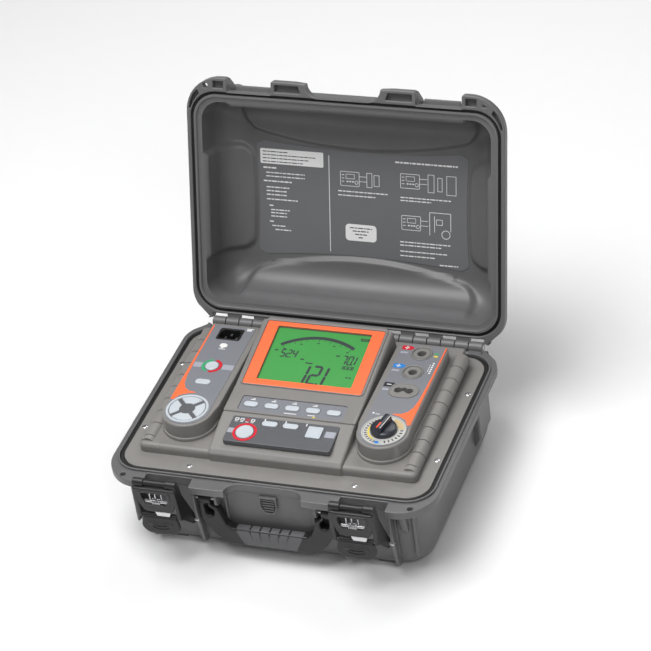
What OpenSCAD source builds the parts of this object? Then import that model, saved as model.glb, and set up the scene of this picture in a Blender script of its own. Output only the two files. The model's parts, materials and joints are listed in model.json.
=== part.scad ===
// Insulation resistance tester in a rugged hinged case.
// Frame: millimetres, +Z up, origin at the centre of the flat underside,
// X across the width, -Y at the latches, +Y at the hinge. Lid shown open.

/* [Case] */
// Width of the case across its flange
case_w = 390; // [380:1:400]
// Depth of the case flange, latches and hinge left out
case_d = 290; // [286:1:294]
// Height of the base from the ground to the parting plane
base_h = 102; // [98:1:110]
// Height of the lid above the parting plane
lid_h = 69.6; // [66:0.2:76]
// Thickness of the flange on base and lid
flange_t = 10; // [8:0.5:12]
// Corner radius of the flange
flange_r = 42; // [30:1:46]
// Thickness of the case walls
wall = 4; // [3:0.5:5]
// Radius of the padlock holes in the front corners
padlock_r = 3; // [2.5:0.1:4]
// Distance of each padlock hole from the middle of the case
padlock_x = 170.5; // [168:0.5:172]

/* [Hinge] */
// How far the lid stands open, in degrees
lid_open = 108.5; // [0:0.5:110]
// Radius of the hinge pin
hinge_pin_r = 2.5; // [2:0.1:3]
// Radius of the hinge knuckles
knuckle_r = 6.5; // [6:0.1:7]
// Width of one hinge knuckle
knuckle_w = 17; // [15:0.5:18]
// Knuckles in each of the two hinge groups
knuckle_n = 7; // [5:2:7]

/* [Latches and handle] */
// Distance of each latch from the middle of the case
latch_x = 116; // [112:1:120]
// Width of a latch
latch_w = 52; // [46:1:54]
// Lean of the released latches away from the case, in degrees
latch_lean = 0; // [-23:1:55]
// Radius of the steel pins of latches and handle
pin_r = 2; // [1.5:0.1:2.5]
// Distance of each handle pivot from the middle of the case
handle_x = 73; // [70:0.5:74]
// Length of the rubber grip
grip_w = 82; // [70:1:84]

/* [Control panel] */
// Width of the flat panel plate
panel_w = 365; // [361:1:367]
// Depth of the flat panel plate
panel_d = 255; // [252:1:257]
// Height of the two side strips above the parting plane
strip_h = 35; // [32:0.5:38]
// Distance of the sockets, keys and knob from the middle
strip_x = 118; // [115:0.5:119]
// Slope of the display, in degrees
display_slope = 9.2; // [6:0.2:10]
// Slope of the two key rows, in degrees
key_slope = 5; // [3:0.5:6]
// Clearance around every key
key_gap = 0.45; // [0.3:0.05:0.6]
// Radius of the test socket bores
socket_bore_r = 5; // [4:0.1:5.5]

/* [Hidden] */
$fn = 48;

fine = 0.1;
run = 0.06;
rim_z = base_h;
front_y = -case_d / 2;
back_y = case_d / 2;

// Tub walls stand back from the flange, more at the front than at the back
tub_front = front_y + 17;
tub_back = back_y - 4;
tub_w = case_w - 28;
tub_d = tub_back - tub_front;
tub_y = (tub_back + tub_front) / 2;
tub_r = 32;
back_r = 35;
// Where the corners run out to the hinge line
hinge_lug_x = 178;
hinge_lug_y = back_y + 6;
floor_t = 4.5;

hinge_y = back_y + 10;
hinge_z = rim_z + 1;
hinge_x0 = 50;
lid_z = rim_z + 0.4;
lid_top = rim_z + 0.4 + lid_h;
lid_step = 2.2;

panel_y = 7;
panel_r = 26;
seal_gap = 4.8;
// Tongue on the base rim and the groove for it in the lid
tongue_w = 2.4;
tongue_h = 2.6;
groove_h = 5.6;
panel_low = rim_z - 2;
panel_top = rim_z + 1.5;
ledge_in = 16;
screw_r = 1.9;
screw_head_r = 3.2;
screw_sink = 0.8;
screw_x = 98.6;
screw_rows = [[-110, screw_x], [-52, 176.3], [68, 176.3], [125, screw_x]];

strip_z = rim_z + strip_h;
strip_in = 84;
strip_out = 146;
strip_back = 108;
boss_y = -52;
boss_r = 30.5;
deck_front = -95.5;
deck_back = 128.5;
deck_w = 157;
deck_front_z = rim_z + 13;
deck_back_z = rim_z + 20;
ridge_r = 9.5;
ridge_n = 9;
ridge_pitch = 21.6;
ridge_y0 = -82;
skin = 3;

centre_w = 80;
groove_y = -42;
groove_z = rim_z + 29.6;
keys_z = rim_z + 30.6;
hump_front = 3.5;
hump_back = 107;
hump_z = keys_z + (hump_front - groove_y) * tan(key_slope);
bezel_w = 144;
bezel_d = 100;
window_w = 115;
window_d = 84.6;
window_y = 10;

recess_y = -38.5;
recess_d = 24.5;
recess_w = 127;
pod_y = -87;
pod_d = 41;
pod_w = 128;
pod_low = rim_z + 20.5;
pod_z = rim_z + 25.3;
key_travel = 1;

socket_y = [90, 55, 20.5];
socket_r = 12.8;
inlet_y = 89;
lamp_y = 67;
power_y = 28;
light_y = -1.7;
nav_r = 21.5;
dial_r = 25.6;
knob_r = 15.3;
board_z = 74;
board_t = 1.6;

latch_py = tub_front - 10;
latch_pz = 50;
latch_face = front_y - 20;
bar_y = front_y - 21;
bar_z = rim_z + 19;
bar_r = 5;
trigger_y = front_y - 22;
trigger_z = rim_z - 26.5;
trigger_pin_r = 1.5;
coil_y = front_y - 24.5;
coil_z = rim_z - 4;
rib_out = front_y + 4;
handle_y = front_y + 9.5;
handle_z = rim_z - 20;
handle_t = 12;
grip_z = 34;

// ---- shared shapes ----
module rounded_rect(w, d, r) {
    square([w - 2 * r, d], center = true);
    square([w, d - 2 * r], center = true);
    for (sx = [-1, 1], sy = [-1, 1]) translate([sx * (w / 2 - r), sy * (d / 2 - r)]) circle(r);
}

module slab(w, d, r, h) {
    linear_extrude(h) rounded_rect(w, d, r);
}

// An outline in the Y-Z plane, drawn out along X
module across(x0, x1) {
    translate([x0, 0, 0]) rotate([90, 0, 90]) linear_extrude(x1 - x0) children();
}

module both_sides() {
    children();
    mirror([1, 0, 0]) children();
}

module rod(x0, x1, y, z, r) {
    translate([x0, y, z]) rotate([0, 90, 0]) cylinder(h = x1 - x0, r = r);
}

// Case walls: stacked rounded outlines that draw in towards the closed face
module drafted(levels, shrink) {
    hull() for (l = levels)
        translate([0, tub_y, l[0]])
            slab(tub_w - 2 * (l[1] + shrink), tub_d - 2 * (l[1] + shrink), tub_r - l[1] / 3, fine);
}

module open_lid() {
    translate([0, hinge_y, hinge_z]) rotate([-lid_open, 0, 0]) translate([0, -hinge_y, -hinge_z])
        children();
}

// Plan of both flanges: wide front corners, and back corners that run out to the hinge line
module flange_outline() {
    clear_x = hinge_x0 + knuckle_n * knuckle_w + 0.6;
    difference() {
        hull() {
            for (sx = [-1, 1]) {
                translate([sx * (case_w / 2 - flange_r), front_y + flange_r]) circle(flange_r);
                translate([sx * (case_w / 2 - back_r), hinge_lug_y - back_r]) circle(back_r);
            }
            translate([-hinge_lug_x, hinge_lug_y - 1]) square([2 * hinge_lug_x, 1]);
        }
        translate([-clear_x, back_y]) square([2 * clear_x, hinge_lug_y]);
    }
}

module padlock_holes(z0, z1) {
    both_sides() translate([padlock_x, front_y + 10, z0]) cylinder(h = z1 - z0, r = padlock_r);
}

module knuckles(first, web_z0, web_z1, bore) {
    both_sides() for (k = [first:2:knuckle_n - 1]) {
        x0 = hinge_x0 + k * knuckle_w;
        difference() {
            union() {
                rod(x0 + 0.2, x0 + knuckle_w - 0.2, hinge_y, hinge_z, knuckle_r);
                translate([x0 + 0.2, back_y - 1, web_z0])
                    cube([knuckle_w - 0.4, hinge_y - back_y + 1, web_z1 - web_z0]);
            }
            rod(x0 - 1, x0 + knuckle_w + 1, hinge_y, hinge_z, bore);
        }
    }
}

// ---- base ----
base_levels = [[3, 17], [8, 8], [24, 2], [rim_z - flange_t, 0]];
base_inside = [[3 + floor_t, 17], [8 + floor_t, 8], [24 + floor_t, 2], [rim_z - flange_t, 0]];

module rib_plate(x0, x1) {
    across(x0, x1) polygon([[tub_front + 3, rim_z - flange_t + 1], [rib_out, rim_z - flange_t + 1],
        [rib_out, rim_z - 34], [tub_front - 4, 12], [tub_front + 10, 12]]);
}

// Slot in a flange that a latch turns through
module latch_slot(z) {
    translate([latch_x - latch_w / 2 - 1.5, front_y - 1, z - 1]) cube([latch_w + 3, 17, flange_t + 2]);
}

// A slab over the seat of the panel plate, with the given margin all round
module seat_slab(grow, z0, z1) {
    translate([0, panel_y, z0])
        slab(panel_w + 2 * (seal_gap + grow), panel_d + 2 * (seal_gap + grow), panel_r + 3 + grow, z1 - z0);
}

module base_flange() {
    difference() {
        union() {
            translate([0, 0, rim_z - flange_t]) linear_extrude(flange_t) flange_outline();
            seat_slab(tongue_w, rim_z - 1, rim_z + tongue_h);
        }
        // seat of the panel plate, then the way down into the tub
        seat_slab(0, panel_low, rim_z + flange_t);
        translate([0, panel_y, rim_z - flange_t - 1])
            slab(panel_w - 2 * ledge_in, panel_d - 2 * ledge_in, panel_r - 6, flange_t);
        // hand recess over the handle
        translate([0, 0, rim_z - flange_t - 1]) linear_extrude(flange_t + 2) {
            translate([-30, front_y - 1]) square([60, 17]);
            for (sx = [-1, 1]) translate([sx * 30, front_y]) circle(16);
        }
        both_sides() latch_slot(rim_z - flange_t);
    }
}

module base_shell() {
    color([0.30, 0.30, 0.31]) difference() {
        union() {
            difference() {
                union() {
                    drafted(base_levels, 0);
                    translate([0, tub_y, 0]) slab(tub_w - 44, tub_d - 44, 18, floor_t);
                }
                drafted(base_inside, wall);
            }
            base_flange();
            both_sides() {
                rib_plate(latch_x - latch_w / 2 - 6, latch_x - latch_w / 2 - 1.5);
                rib_plate(latch_x + latch_w / 2 + 1.5, latch_x + latch_w / 2 + 6);
                // inner lug of the handle pivot
                across(handle_x - 15.5, handle_x - 10)
                    polygon([[tub_front + 3, rim_z - flange_t + 1], [rib_out, rim_z - flange_t + 1],
                        [rib_out, handle_z - 5], [rib_out + 5, handle_z - 9], [tub_front + 3, handle_z - 9]]);
                // gusset under the padlock corner
                across(156, 161) polygon([[tub_front + 2, rim_z - flange_t + 1],
                    [front_y + 7, rim_z - flange_t + 1], [front_y + 15, rim_z - 46], [tub_front + 2, rim_z - 50]]);
                // upright pillar on the side wall
                translate([tub_w / 2 - 6, 62, 26]) cube([13, 42, rim_z - flange_t - 25]);
            }
            // rest for the folded handle
            across(-10, 10) polygon([[tub_front + 1, 84], [tub_front - 2.5, 82], [tub_front - 2.5, 62],
                [tub_front + 1, 58]]);
            knuckles(0, rim_z - 5.5, rim_z, hinge_pin_r);
        }
        padlock_holes(rim_z - flange_t - 1, rim_z + 1);
        both_sides() {
            rod(latch_x - latch_w / 2 - 8, latch_x + latch_w / 2 + 8, latch_py, latch_pz, pin_r);
            rod(handle_x - 17, latch_x - latch_w / 2 - 1, handle_y, handle_z, pin_r);
            for (s = screw_rows) translate([s[1], s[0], panel_low - 12]) cylinder(h = 13, r = screw_r + run);
        }
    }
}

module panel_seal() {
    color([0.03, 0.03, 0.03]) difference() {
        seat_slab(-fine, panel_low, panel_low + 1.4);
        translate([0, panel_y, panel_low - 1]) slab(panel_w + fine, panel_d + fine, panel_r, 4);
    }
}

module hinge_pins() {
    color("silver") both_sides()
        rod(hinge_x0 + 0.2, hinge_x0 + knuckle_n * knuckle_w - 0.2, hinge_y, hinge_z, hinge_pin_r);
}

// Steel pins that the latches and the handle turn on
module case_pins() {
    color("silver") both_sides() {
        rod(latch_x - latch_w / 2 - 6, latch_x + latch_w / 2 + 6, latch_py, latch_pz, pin_r);
        rod(handle_x - 15.5, latch_x - latch_w / 2 - 1.5, handle_y, handle_z, pin_r);
    }
}

// ---- lid, drawn closed and turned open ----
lid_levels = [[lid_z + flange_t - 1, 0], [lid_top - 24, 2], [lid_top - 8, 8], [lid_top - fine, 17]];
lid_inside = [[lid_z - 1, 0], [lid_top - 33, 2], [lid_top - 16, 8], [lid_top - 7, 17]];

// Lip in the latch slot of the lid, which the latch bar comes over
module lid_catch() {
    across(latch_x - 22, latch_x + 22) polygon([[tub_front + 2, lid_z + 13.5], [tub_front - 5.5, lid_z + 15.5],
        [tub_front - 5.5, lid_z + 17.5], [tub_front + 2, lid_z + 17.5]]);
}

module lid_shell() {
    color([0.30, 0.30, 0.31]) open_lid() difference() {
        union() {
            drafted(lid_levels, 0);
            difference() {
                translate([0, 0, lid_z]) linear_extrude(flange_t) flange_outline();
                both_sides() latch_slot(lid_z);
            }
            both_sides() lid_catch();
            knuckles(1, rim_z + 1, rim_z + 7.5, hinge_pin_r + run);
        }
        drafted(lid_inside, wall + 1);
        // step over the panel plate, and the groove over the tongue
        translate([0, panel_y, lid_z - 1]) slab(panel_w + 1.6, panel_d + 1.6, panel_r + 1, 1 + lid_step);
        groove_ring(lid_z - 1, lid_z + groove_h, 0.4);
        padlock_holes(lid_z - 1, lid_z + flange_t + 1);
        translate([-30, front_y - 1, lid_z - 1]) cube([60, 15, flange_t + 2]);
        both_sides() translate([30, front_y, lid_z - 1]) cylinder(h = flange_t + 2, r = 14);
    }
}

module groove_ring(z0, z1, grow) {
    difference() {
        seat_slab(tongue_w + grow, z0, z1);
        seat_slab(-grow, z0 - 1, z1 + 1);
    }
}

module lid_gasket() {
    color([0.03, 0.03, 0.03]) open_lid()
        groove_ring(rim_z + tongue_h + 0.2, lid_z + groove_h, 0.3);
}

module lid_label() {
    color([0.42, 0.43, 0.45]) open_lid() translate([0, 14, lid_top - 7.6]) linear_extrude(0.7)
        difference() {
            rounded_rect(266, 144, 10);
            for (sx = [-1, 1]) translate([sx * 872, 0]) circle(742, $fn = 360);
            for (sy = [-1, 1]) translate([0, sy * 1051]) circle(987, $fn = 360);
        }
}

// ---- latches ----
module latch_at(side) {
    translate([side * latch_x, latch_py, latch_pz]) rotate([latch_lean, 0, 0])
        translate([0, -latch_py, -latch_pz]) children();
}

module latch_body() {
    half = latch_w / 2;
    arm = 4.5;
    color([0.06, 0.06, 0.065]) difference() {
        union() {
            rod(-half, half, bar_y, bar_z, bar_r);
            // front frame
            across(-half, half) polygon([[latch_face - 0.5, rim_z - 22], [latch_face - 4, rim_z - 22],
                [latch_face - 9.5, rim_z + 8], [latch_face - 9, rim_z + 17],
                [latch_face - 5, rim_z + 22.5], [bar_y, bar_z + bar_r], [bar_y, bar_z - 3],
                [latch_face - 4.8, rim_z + 14], [latch_face - 5.2, rim_z + 8]]);
            // side arms from the bar to the pivot at the foot
            for (sx = [-1, 1]) across(sx > 0 ? half - arm : -half, sx > 0 ? half : -half + arm) {
                polygon([[trigger_y - 4, trigger_z - 2], [latch_face - 4, rim_z - 22],
                    [latch_face - 6, bar_z - 2], [bar_y + bar_r, bar_z], [latch_py - 19, rim_z],
                    [latch_py + 5, latch_pz + 2], [latch_py - 5, latch_pz - 2],
                    [trigger_y + 2, trigger_z - 5]]);
                translate([latch_py, latch_pz]) circle(5.5);
            }
            rod(-half + 1, half - 1, coil_y, coil_z, pin_r);
            rod(-half + 1, half - 1, trigger_y, trigger_z, trigger_pin_r);
        }
        rod(-half - 1, half + 1, latch_py, latch_pz, pin_r + run);
        // window in the frame, which leaves the spring pin across it
        difference() {
            translate([-15, latch_face - 12, rim_z - 14]) cube([30, 13, 19]);
            rod(-16, 16, coil_y, coil_z, pin_r);
        }
    }
}

// Finger tab on a barrel below the frame
module trigger_body() {
    half = latch_w / 2 - 5;
    color([0.09, 0.09, 0.095]) difference() {
        union() {
            rod(-half, half, trigger_y, trigger_z, 3.5);
            across(-half, half) polygon([[trigger_y + 3, trigger_z], [trigger_y - 3.4, trigger_z],
                [latch_face - 8, rim_z - 40], [latch_face - 4, rim_z - 42], [latch_face + 1, rim_z - 36]]);
        }
        rod(-half - 1, half + 1, trigger_y, trigger_z, trigger_pin_r + run);
    }
}

// Wire coil on the pin in the window, with a leg down to the trigger
module spring_body() {
    wire = 1.4;
    turns = 5;
    color("silver") {
        difference() {
            for (k = [0:turns - 1])
                rod(-5 + k * 2.2, -5 + k * 2.2 + wire, coil_y, coil_z, 3.6);
            rod(-7, 8, coil_y, coil_z, pin_r + 0.2);
        }
        rod(-5, -5 + (turns - 1) * 2.2 + wire, coil_y, coil_z + 2.9, 0.6);
    }
}

module latch_left() { latch_at(-1) latch_body(); }
module latch_right() { latch_at(1) latch_body(); }
module trigger_left() { latch_at(-1) trigger_body(); }
module trigger_right() { latch_at(1) trigger_body(); }
module spring_left() { latch_at(-1) spring_body(); }
module spring_right() { latch_at(1) spring_body(); }

// ---- handle, folded down ----
module handle_core() {
    translate([0, handle_y + handle_t / 2, 0]) rotate([90, 0, 0]) linear_extrude(handle_t)
        translate([0, grip_z]) square([grip_w + 1, 12], center = true);
}

module handle_frame() {
    color([0.06, 0.06, 0.065]) difference() {
        union() {
            both_sides() translate([0, handle_y + handle_t / 2, 0]) rotate([90, 0, 0])
                linear_extrude(handle_t)
                    polygon([[handle_x + 7, handle_z], [handle_x - 7, handle_z], [handle_x - 12, 56],
                        [grip_w / 2 + 8, 45], [grip_w / 2, 45], [grip_w / 2, 22], [52, 22], [66, 33],
                        [handle_x + 6, 54]]);
            both_sides() rod(handle_x - 7, handle_x + 7, handle_y, handle_z, handle_t / 2);
            handle_core();
        }
        both_sides() rod(handle_x - 12, handle_x + 12, handle_y, handle_z, pin_r + run);
    }
}

module handle_grip() {
    color([0.33, 0.33, 0.34]) difference() {
        translate([-grip_w / 2 + 0.05, handle_y - handle_t / 2 - 1.5, 22])
            cube([grip_w - fine, handle_t + 3, 23]);
        handle_core();
        for (k = [-2:2]) translate([k * 11 - 0.8, handle_y - handle_t / 2 - 2, 27]) cube([1.6, 1.5, 19]);
    }
}

// ---- control panel ----
// Places its children on the sloped key field: y and the surface height there
module on_keys(y, z) {
    translate([0, y, z]) rotate([key_slope, 0, 0]) children();
}

module on_display() {
    translate([0, hump_front, hump_z]) rotate([display_slope, 0, 0]) children();
}

function field_z(y) = keys_z + (y - groove_y) * tan(key_slope);
function pod_top(y) = pod_z + (y - pod_y) * tan(key_slope);
function hump_top(y) = hump_z + (y - hump_front) * tan(display_slope);

module strip_outline(grow) {
    translate([(strip_in + strip_out) / 2, (boss_y + strip_back) / 2])
        square([strip_out - strip_in + 2 * grow, strip_back - boss_y + 2 * grow], center = true);
    translate([strip_x - 1, boss_y]) circle(boss_r + grow);
}

module panel_form(t) {
    low = panel_low - (t > 0 ? 1 : 0);
    // lower deck with its rounded front edge
    across(-deck_w + t, deck_w - t) polygon([[deck_front + t, low], [deck_front + t, deck_front_z - 5 - t],
        [deck_front + 2 + t, deck_front_z - 1.5 - t], [deck_front + 6 + t, deck_front_z - t],
        [deck_back - t, deck_back_z - t], [deck_back - t, low]]);
    // centre section: front wedge, key field and display hump
    across(-centre_w + t, centre_w - t) polygon([[deck_front - 2 + t, low],
        [deck_front - 2 + t, rim_z + 12 - t], [deck_front + 3 + t, rim_z + 16.5 - t],
        [groove_y, groove_z - t], [groove_y + 0.8, groove_z - t], [groove_y + 0.8, keys_z - t],
        [hump_front, hump_z - t], [hump_back - t, hump_top(hump_back) - t],
        [hump_back + 4 - t, strip_z - 10], [hump_back + 4 - t, low]]);
    // side strips with their round front bosses
    both_sides() translate([0, 0, low]) linear_extrude(strip_z - t - low) strip_outline(-t);
}

// Half-round shoulder in short segments, along each side of the deck
module ridge() {
    slope = atan((deck_back_z - deck_front_z) / (deck_back - deck_front));
    translate([deck_w, deck_front + 3, deck_front_z - 5.5]) rotate([slope - 90, 0, 0]) {
        cylinder(h = ridge_y0 + ridge_n * ridge_pitch - deck_front, r = ridge_r - 0.6);
        cylinder(h = ridge_y0 - deck_front - 3.4, r = ridge_r);
        for (k = [0:ridge_n - 1]) translate([0, 0, ridge_y0 - deck_front - 3 + k * ridge_pitch])
            cylinder(h = ridge_pitch - 0.7, r = ridge_r);
    }
}

// Smooth corner of the deck before the first segment
module deck_corner() {
    hull() for (step = [[0, deck_front_z - 4.5], [4, deck_front_z]])
        translate([deck_w - 1, deck_front + ridge_r, panel_low])
            cylinder(h = step[1] - panel_low, r = ridge_r - step[0]);
}

module key_hole(w, d) {
    translate([-w / 2 - key_gap, -d / 2 - key_gap, -12])
        cube([w + 2 * key_gap, d + 2 * key_gap, 20]);
}

module round_hole(r) {
    translate([0, 0, -12]) cylinder(h = 20, r = r + key_gap);
}

f_keys = [for (k = [-2:2]) k * 25];
f_y = -27;
small_keys = [-17.6, 7.4];
small_y = -54.5;
square_pos = [37.5, -60];
start_pos = [-42.3, -71];

// One quadrant of the direction pad; turn 0 is the right-hand key
module nav_quadrant(turn, grow) {
    rotate(turn) intersection() {
        circle(nav_r + grow);
        rotate(45) translate([2.6 - grow, -60]) square([60, 120]);
        rotate(-45) translate([2.6 - grow, -60]) square([60, 120]);
        translate([7.5 - grow, -60]) square([60, 120]);
    }
}

module front_panel() {
    color([0.42, 0.42, 0.42]) difference() {
        union() {
            translate([0, panel_y, panel_low]) slab(panel_w, panel_d, panel_r, panel_top - panel_low);
            panel_form(0);
            both_sides() {
                ridge();
                deck_corner();
            }
        }
        panel_form(skin);
        both_sides() for (s = screw_rows) translate([s[1], s[0], panel_low - 1]) {
            cylinder(h = 6, r = screw_r + 0.3);
            translate([0, 0, panel_top - panel_low + 1 - screw_sink]) cylinder(h = 3, r = screw_head_r + 0.2);
        }
        // display: seat of the bezel and the way through to the glass
        on_display() {
            translate([-bezel_w / 2, 0.5, -1.4]) cube([bezel_w, bezel_d, 6]);
            translate([-window_w / 2, window_y, -9]) cube([window_w, window_d, 12]);
        }
        // sunken field of the function keys
        on_keys(recess_y, field_z(recess_y)) translate([-recess_w / 2, 0, -1.6])
            cube([recess_w, recess_d, 6]);
        for (x = f_keys) translate([x, 0, 0]) on_keys(f_y, field_z(f_y)) key_hole(17, 8);
        for (x = small_keys) translate([x, 0, 0]) on_keys(small_y, pod_top(small_y)) key_hole(19, 8);
        translate([square_pos[0], 0, 0]) on_keys(square_pos[1], pod_top(square_pos[1])) key_hole(18, 18);
        translate([start_pos[0], 0, 0]) on_keys(start_pos[1], pod_top(start_pos[1])) round_hole(10.5);
        // left strip: inlet, lamp, two keys and the direction pad
        translate([-strip_x, inlet_y, strip_z - 10]) slab(30 + fine, 22 + fine, 3, 20);
        translate([-strip_x, lamp_y, strip_z]) round_hole(3.5);
        translate([-strip_x, power_y, strip_z]) round_hole(8);
        translate([-strip_x, light_y, strip_z]) key_hole(19, 9);
        translate([-strip_x, boss_y, strip_z - 9]) linear_extrude(20)
            for (turn = [0:90:270]) nav_quadrant(turn, key_gap);
        // right strip: sockets and switch shaft
        for (y = socket_y) translate([strip_x, y, strip_z - 20]) socket_outline(22, y == socket_y[2], 0.05);
        translate([strip_x, boss_y, strip_z - 20]) cylinder(h = 22, r = 5);
    }
}

module panel_screws() {
    color("silver") both_sides() for (s = screw_rows) translate([s[1], s[0], 0]) {
        translate([0, 0, panel_low - 10]) cylinder(h = panel_top - panel_low + 10 - screw_sink, r = screw_r);
        difference() {
            translate([0, 0, panel_top - screw_sink]) cylinder(h = screw_sink + 0.6, r = screw_head_r);
            translate([0, 0, panel_top + 1]) for (a = [0, 90]) rotate(a) cube([4, 0.9, 2], center = true);
        }
    }
}

module display_bezel() {
    color([1, 0.42, 0.24]) on_display() difference() {
        translate([-bezel_w / 2 + 0.05, 0.55, -1.4]) cube([bezel_w - fine, bezel_d - fine, 2.2]);
        translate([-window_w / 2, window_y, -3]) cube([window_w, window_d, 6]);
    }
}

module lcd_window() {
    color([0.6, 0.8, 0.6, 0.4]) on_display() translate([-window_w / 2, window_y, -2.4])
        cube([window_w, window_d, 1.6]);
}

module lcd_panel() {
    color([0.18, 0.62, 0.24]) on_display() translate([-window_w / 2 - 0, window_y, -6])
        cube([window_w, window_d, 3]);
}

module overlay_outline() {
    translate([strip_x, 30]) square([54, 148], center = true);
    translate([strip_x, boss_y]) circle(27);
}

module left_overlay() {
    color([0.53, 0.54, 0.57]) translate([0, 0, strip_z]) linear_extrude(0.5) difference() {
        mirror([1, 0]) overlay_outline();
        translate([-strip_x, inlet_y]) rounded_rect(30.2, 22.2, 3);
        translate([-strip_x, lamp_y]) circle(3.5 + key_gap);
        translate([-strip_x, power_y]) circle(8 + key_gap);
        translate([-strip_x, light_y]) square([19 + 2 * key_gap, 9 + 2 * key_gap], center = true);
        translate([-strip_x, boss_y]) for (turn = [0:90:270]) nav_quadrant(turn, key_gap);
    }
}

module right_overlay() {
    color([0.53, 0.54, 0.57]) translate([0, 0, strip_z]) difference() {
        linear_extrude(0.5) overlay_outline();
        for (y = socket_y) translate([strip_x, y, -1]) socket_outline(3, y == socket_y[2], 0.05);
        translate([strip_x, boss_y, -1]) cylinder(h = 3, r = dial_r + fine);
    }
}

module key_overlay() {
    color([0.53, 0.54, 0.57]) difference() {
        on_keys(recess_y, field_z(recess_y)) translate([-recess_w / 2 + 0.1, 0.1, -1.6])
            cube([recess_w - 0.2, recess_d - 0.2, 0.5]);
        for (x = f_keys) translate([x, 0, 0]) on_keys(f_y, field_z(f_y)) key_hole(17, 8);
    }
}

// Raised block in front of the display that carries the lower keys
module control_pod() {
    color([0.40, 0.41, 0.43]) difference() {
        across(-pod_w / 2, pod_w / 2) polygon([[pod_y, pod_low], [pod_y, pod_top(pod_y)],
            [pod_y + pod_d, pod_top(pod_y + pod_d)], [pod_y + pod_d, pod_low]]);
        panel_form(0);
        for (x = small_keys) translate([x, 0, 0]) on_keys(small_y, pod_top(small_y)) key_hole(19, 8);
        translate([square_pos[0], 0, 0]) on_keys(square_pos[1], pod_top(square_pos[1])) key_hole(18, 18);
        translate([start_pos[0], 0, 0]) on_keys(start_pos[1], pod_top(start_pos[1])) round_hole(10.5);
    }
}

// ---- sockets and inlet ----
module socket_outline(h, wide, grow) {
    cylinder(h = h, r = socket_r + grow);
    if (wide) {
        translate([-5, 0, 0]) cylinder(h = h, r = socket_r + grow);
        translate([5, 0, 0]) cylinder(h = h, r = socket_r + grow);
        translate([-5, -socket_r - grow, 0]) cube([10, 2 * (socket_r + grow), h]);
    }
}

module test_socket(y) {
    translate([strip_x, y, 0]) difference() {
        translate([0, 0, strip_z - 19]) socket_outline(20.5, false, 0);
        translate([0, 0, strip_z - 16]) cylinder(h = 30, r = socket_bore_r);
        // ring groove in the face
        translate([0, 0, strip_z + 0.9]) difference() {
            cylinder(h = 3, r = socket_r - 2);
            translate([0, 0, -1]) cylinder(h = 5, r = socket_r - 2.8);
        }
    }
}

module socket_red() { color([0.36, 0.36, 0.36]) test_socket(socket_y[0]); }
module socket_blue() { color([0.36, 0.36, 0.36]) test_socket(socket_y[1]); }

module socket_guard() {
    color([0.36, 0.36, 0.36]) translate([strip_x, socket_y[2], 0]) difference() {
        translate([0, 0, strip_z - 19]) socket_outline(20.5, true, 0);
        for (x = [-6.5, 6.5]) translate([x, 0, strip_z - 16]) cylinder(h = 30, r = socket_bore_r - 0.4);
        translate([0, 2.4, strip_z - 16]) cylinder(h = 30, r = 3);
    }
}

// Brass contact tubes under the sockets
module socket_contacts() {
    color([0.8, 0.65, 0.3]) for (y = [socket_y[0], socket_y[1]]) translate([strip_x, y, board_z + board_t])
        cylinder(h = strip_z - 19 - board_z - board_t, r = 3.5);
    color([0.8, 0.65, 0.3]) for (x = [-6.5, 6.5]) translate([strip_x + x, socket_y[2], board_z + board_t])
        cylinder(h = strip_z - 19 - board_z - board_t, r = 3.5);
}

module mains_inlet() {
    color([0.04, 0.04, 0.04]) translate([-strip_x, inlet_y, strip_z - 22]) difference() {
        slab(30, 22, 3, 22.8);
        translate([0, 0, 4]) linear_extrude(30) polygon([[-12.3, -8.3], [12.3, -8.3], [12.3, 4.3],
            [8.3, 8.3], [-8.3, 8.3], [-12.3, 4.3]]);
    }
}

module inlet_pins() {
    color("silver") translate([-strip_x, inlet_y, strip_z - 18]) {
        for (x = [-7, 7]) translate([x - 1, -2, 0]) cube([2, 4, 13]);
        translate([-1, 2, 0]) cube([2, 4, 15]);
    }
}

module charge_lamp() {
    color([0.95, 0.95, 0.9]) translate([-strip_x, lamp_y, strip_z - 6]) {
        cylinder(h = 7, r = 3.4);
        translate([0, 0, -2]) cylinder(h = 2, r = 5);
    }
}

module dial_plate() {
    color([0.82, 0.82, 0.80]) translate([strip_x, boss_y, strip_z]) difference() {
        cylinder(h = 0.8, r = dial_r);
        translate([0, 0, -1]) cylinder(h = 3, r = 5);
    }
}

// ---- selector ----
module rotary_switch() {
    color([0.12, 0.25, 0.45]) translate([strip_x, boss_y, board_z + board_t]) difference() {
        cylinder(h = 30, r = 14);
        translate([0, 0, 4]) cylinder(h = 40, r = 3 + run);
    }
}

module switch_shaft() {
    color("silver") translate([strip_x, boss_y, board_z + board_t + 6]) cylinder(h = 60, r = 3);
}

module selector_knob() {
    color([0.20, 0.21, 0.23]) translate([strip_x, boss_y, strip_z + 1.2]) difference() {
        union() {
            cylinder(h = 6, r = knob_r);
            translate([0, 0, 5]) intersection() {
                cylinder(h = 9, r = knob_r - 0.6);
                translate([-4, -knob_r, 0]) cube([8, 2 * knob_r, 9]);
            }
        }
        translate([0, 0, -1]) cylinder(h = board_z + board_t + 67 - strip_z - 1.2, r = 3);
        translate([-1.2, -knob_r - 1, 13]) cube([2.4, 11, 2]);
    }
}

// ---- keys ----
module field_key(x, y, surface, w, d, proud) {
    color([0.86, 0.87, 0.88]) translate([x, 0, 0]) on_keys(y, surface) {
        translate([-w / 2, -d / 2, -4]) cube([w, d, 4 + proud]);
        translate([-w / 2 + 2, -d / 2 + 2, -7]) cube([w - 4, d - 4, 4]);
    }
}

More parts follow.
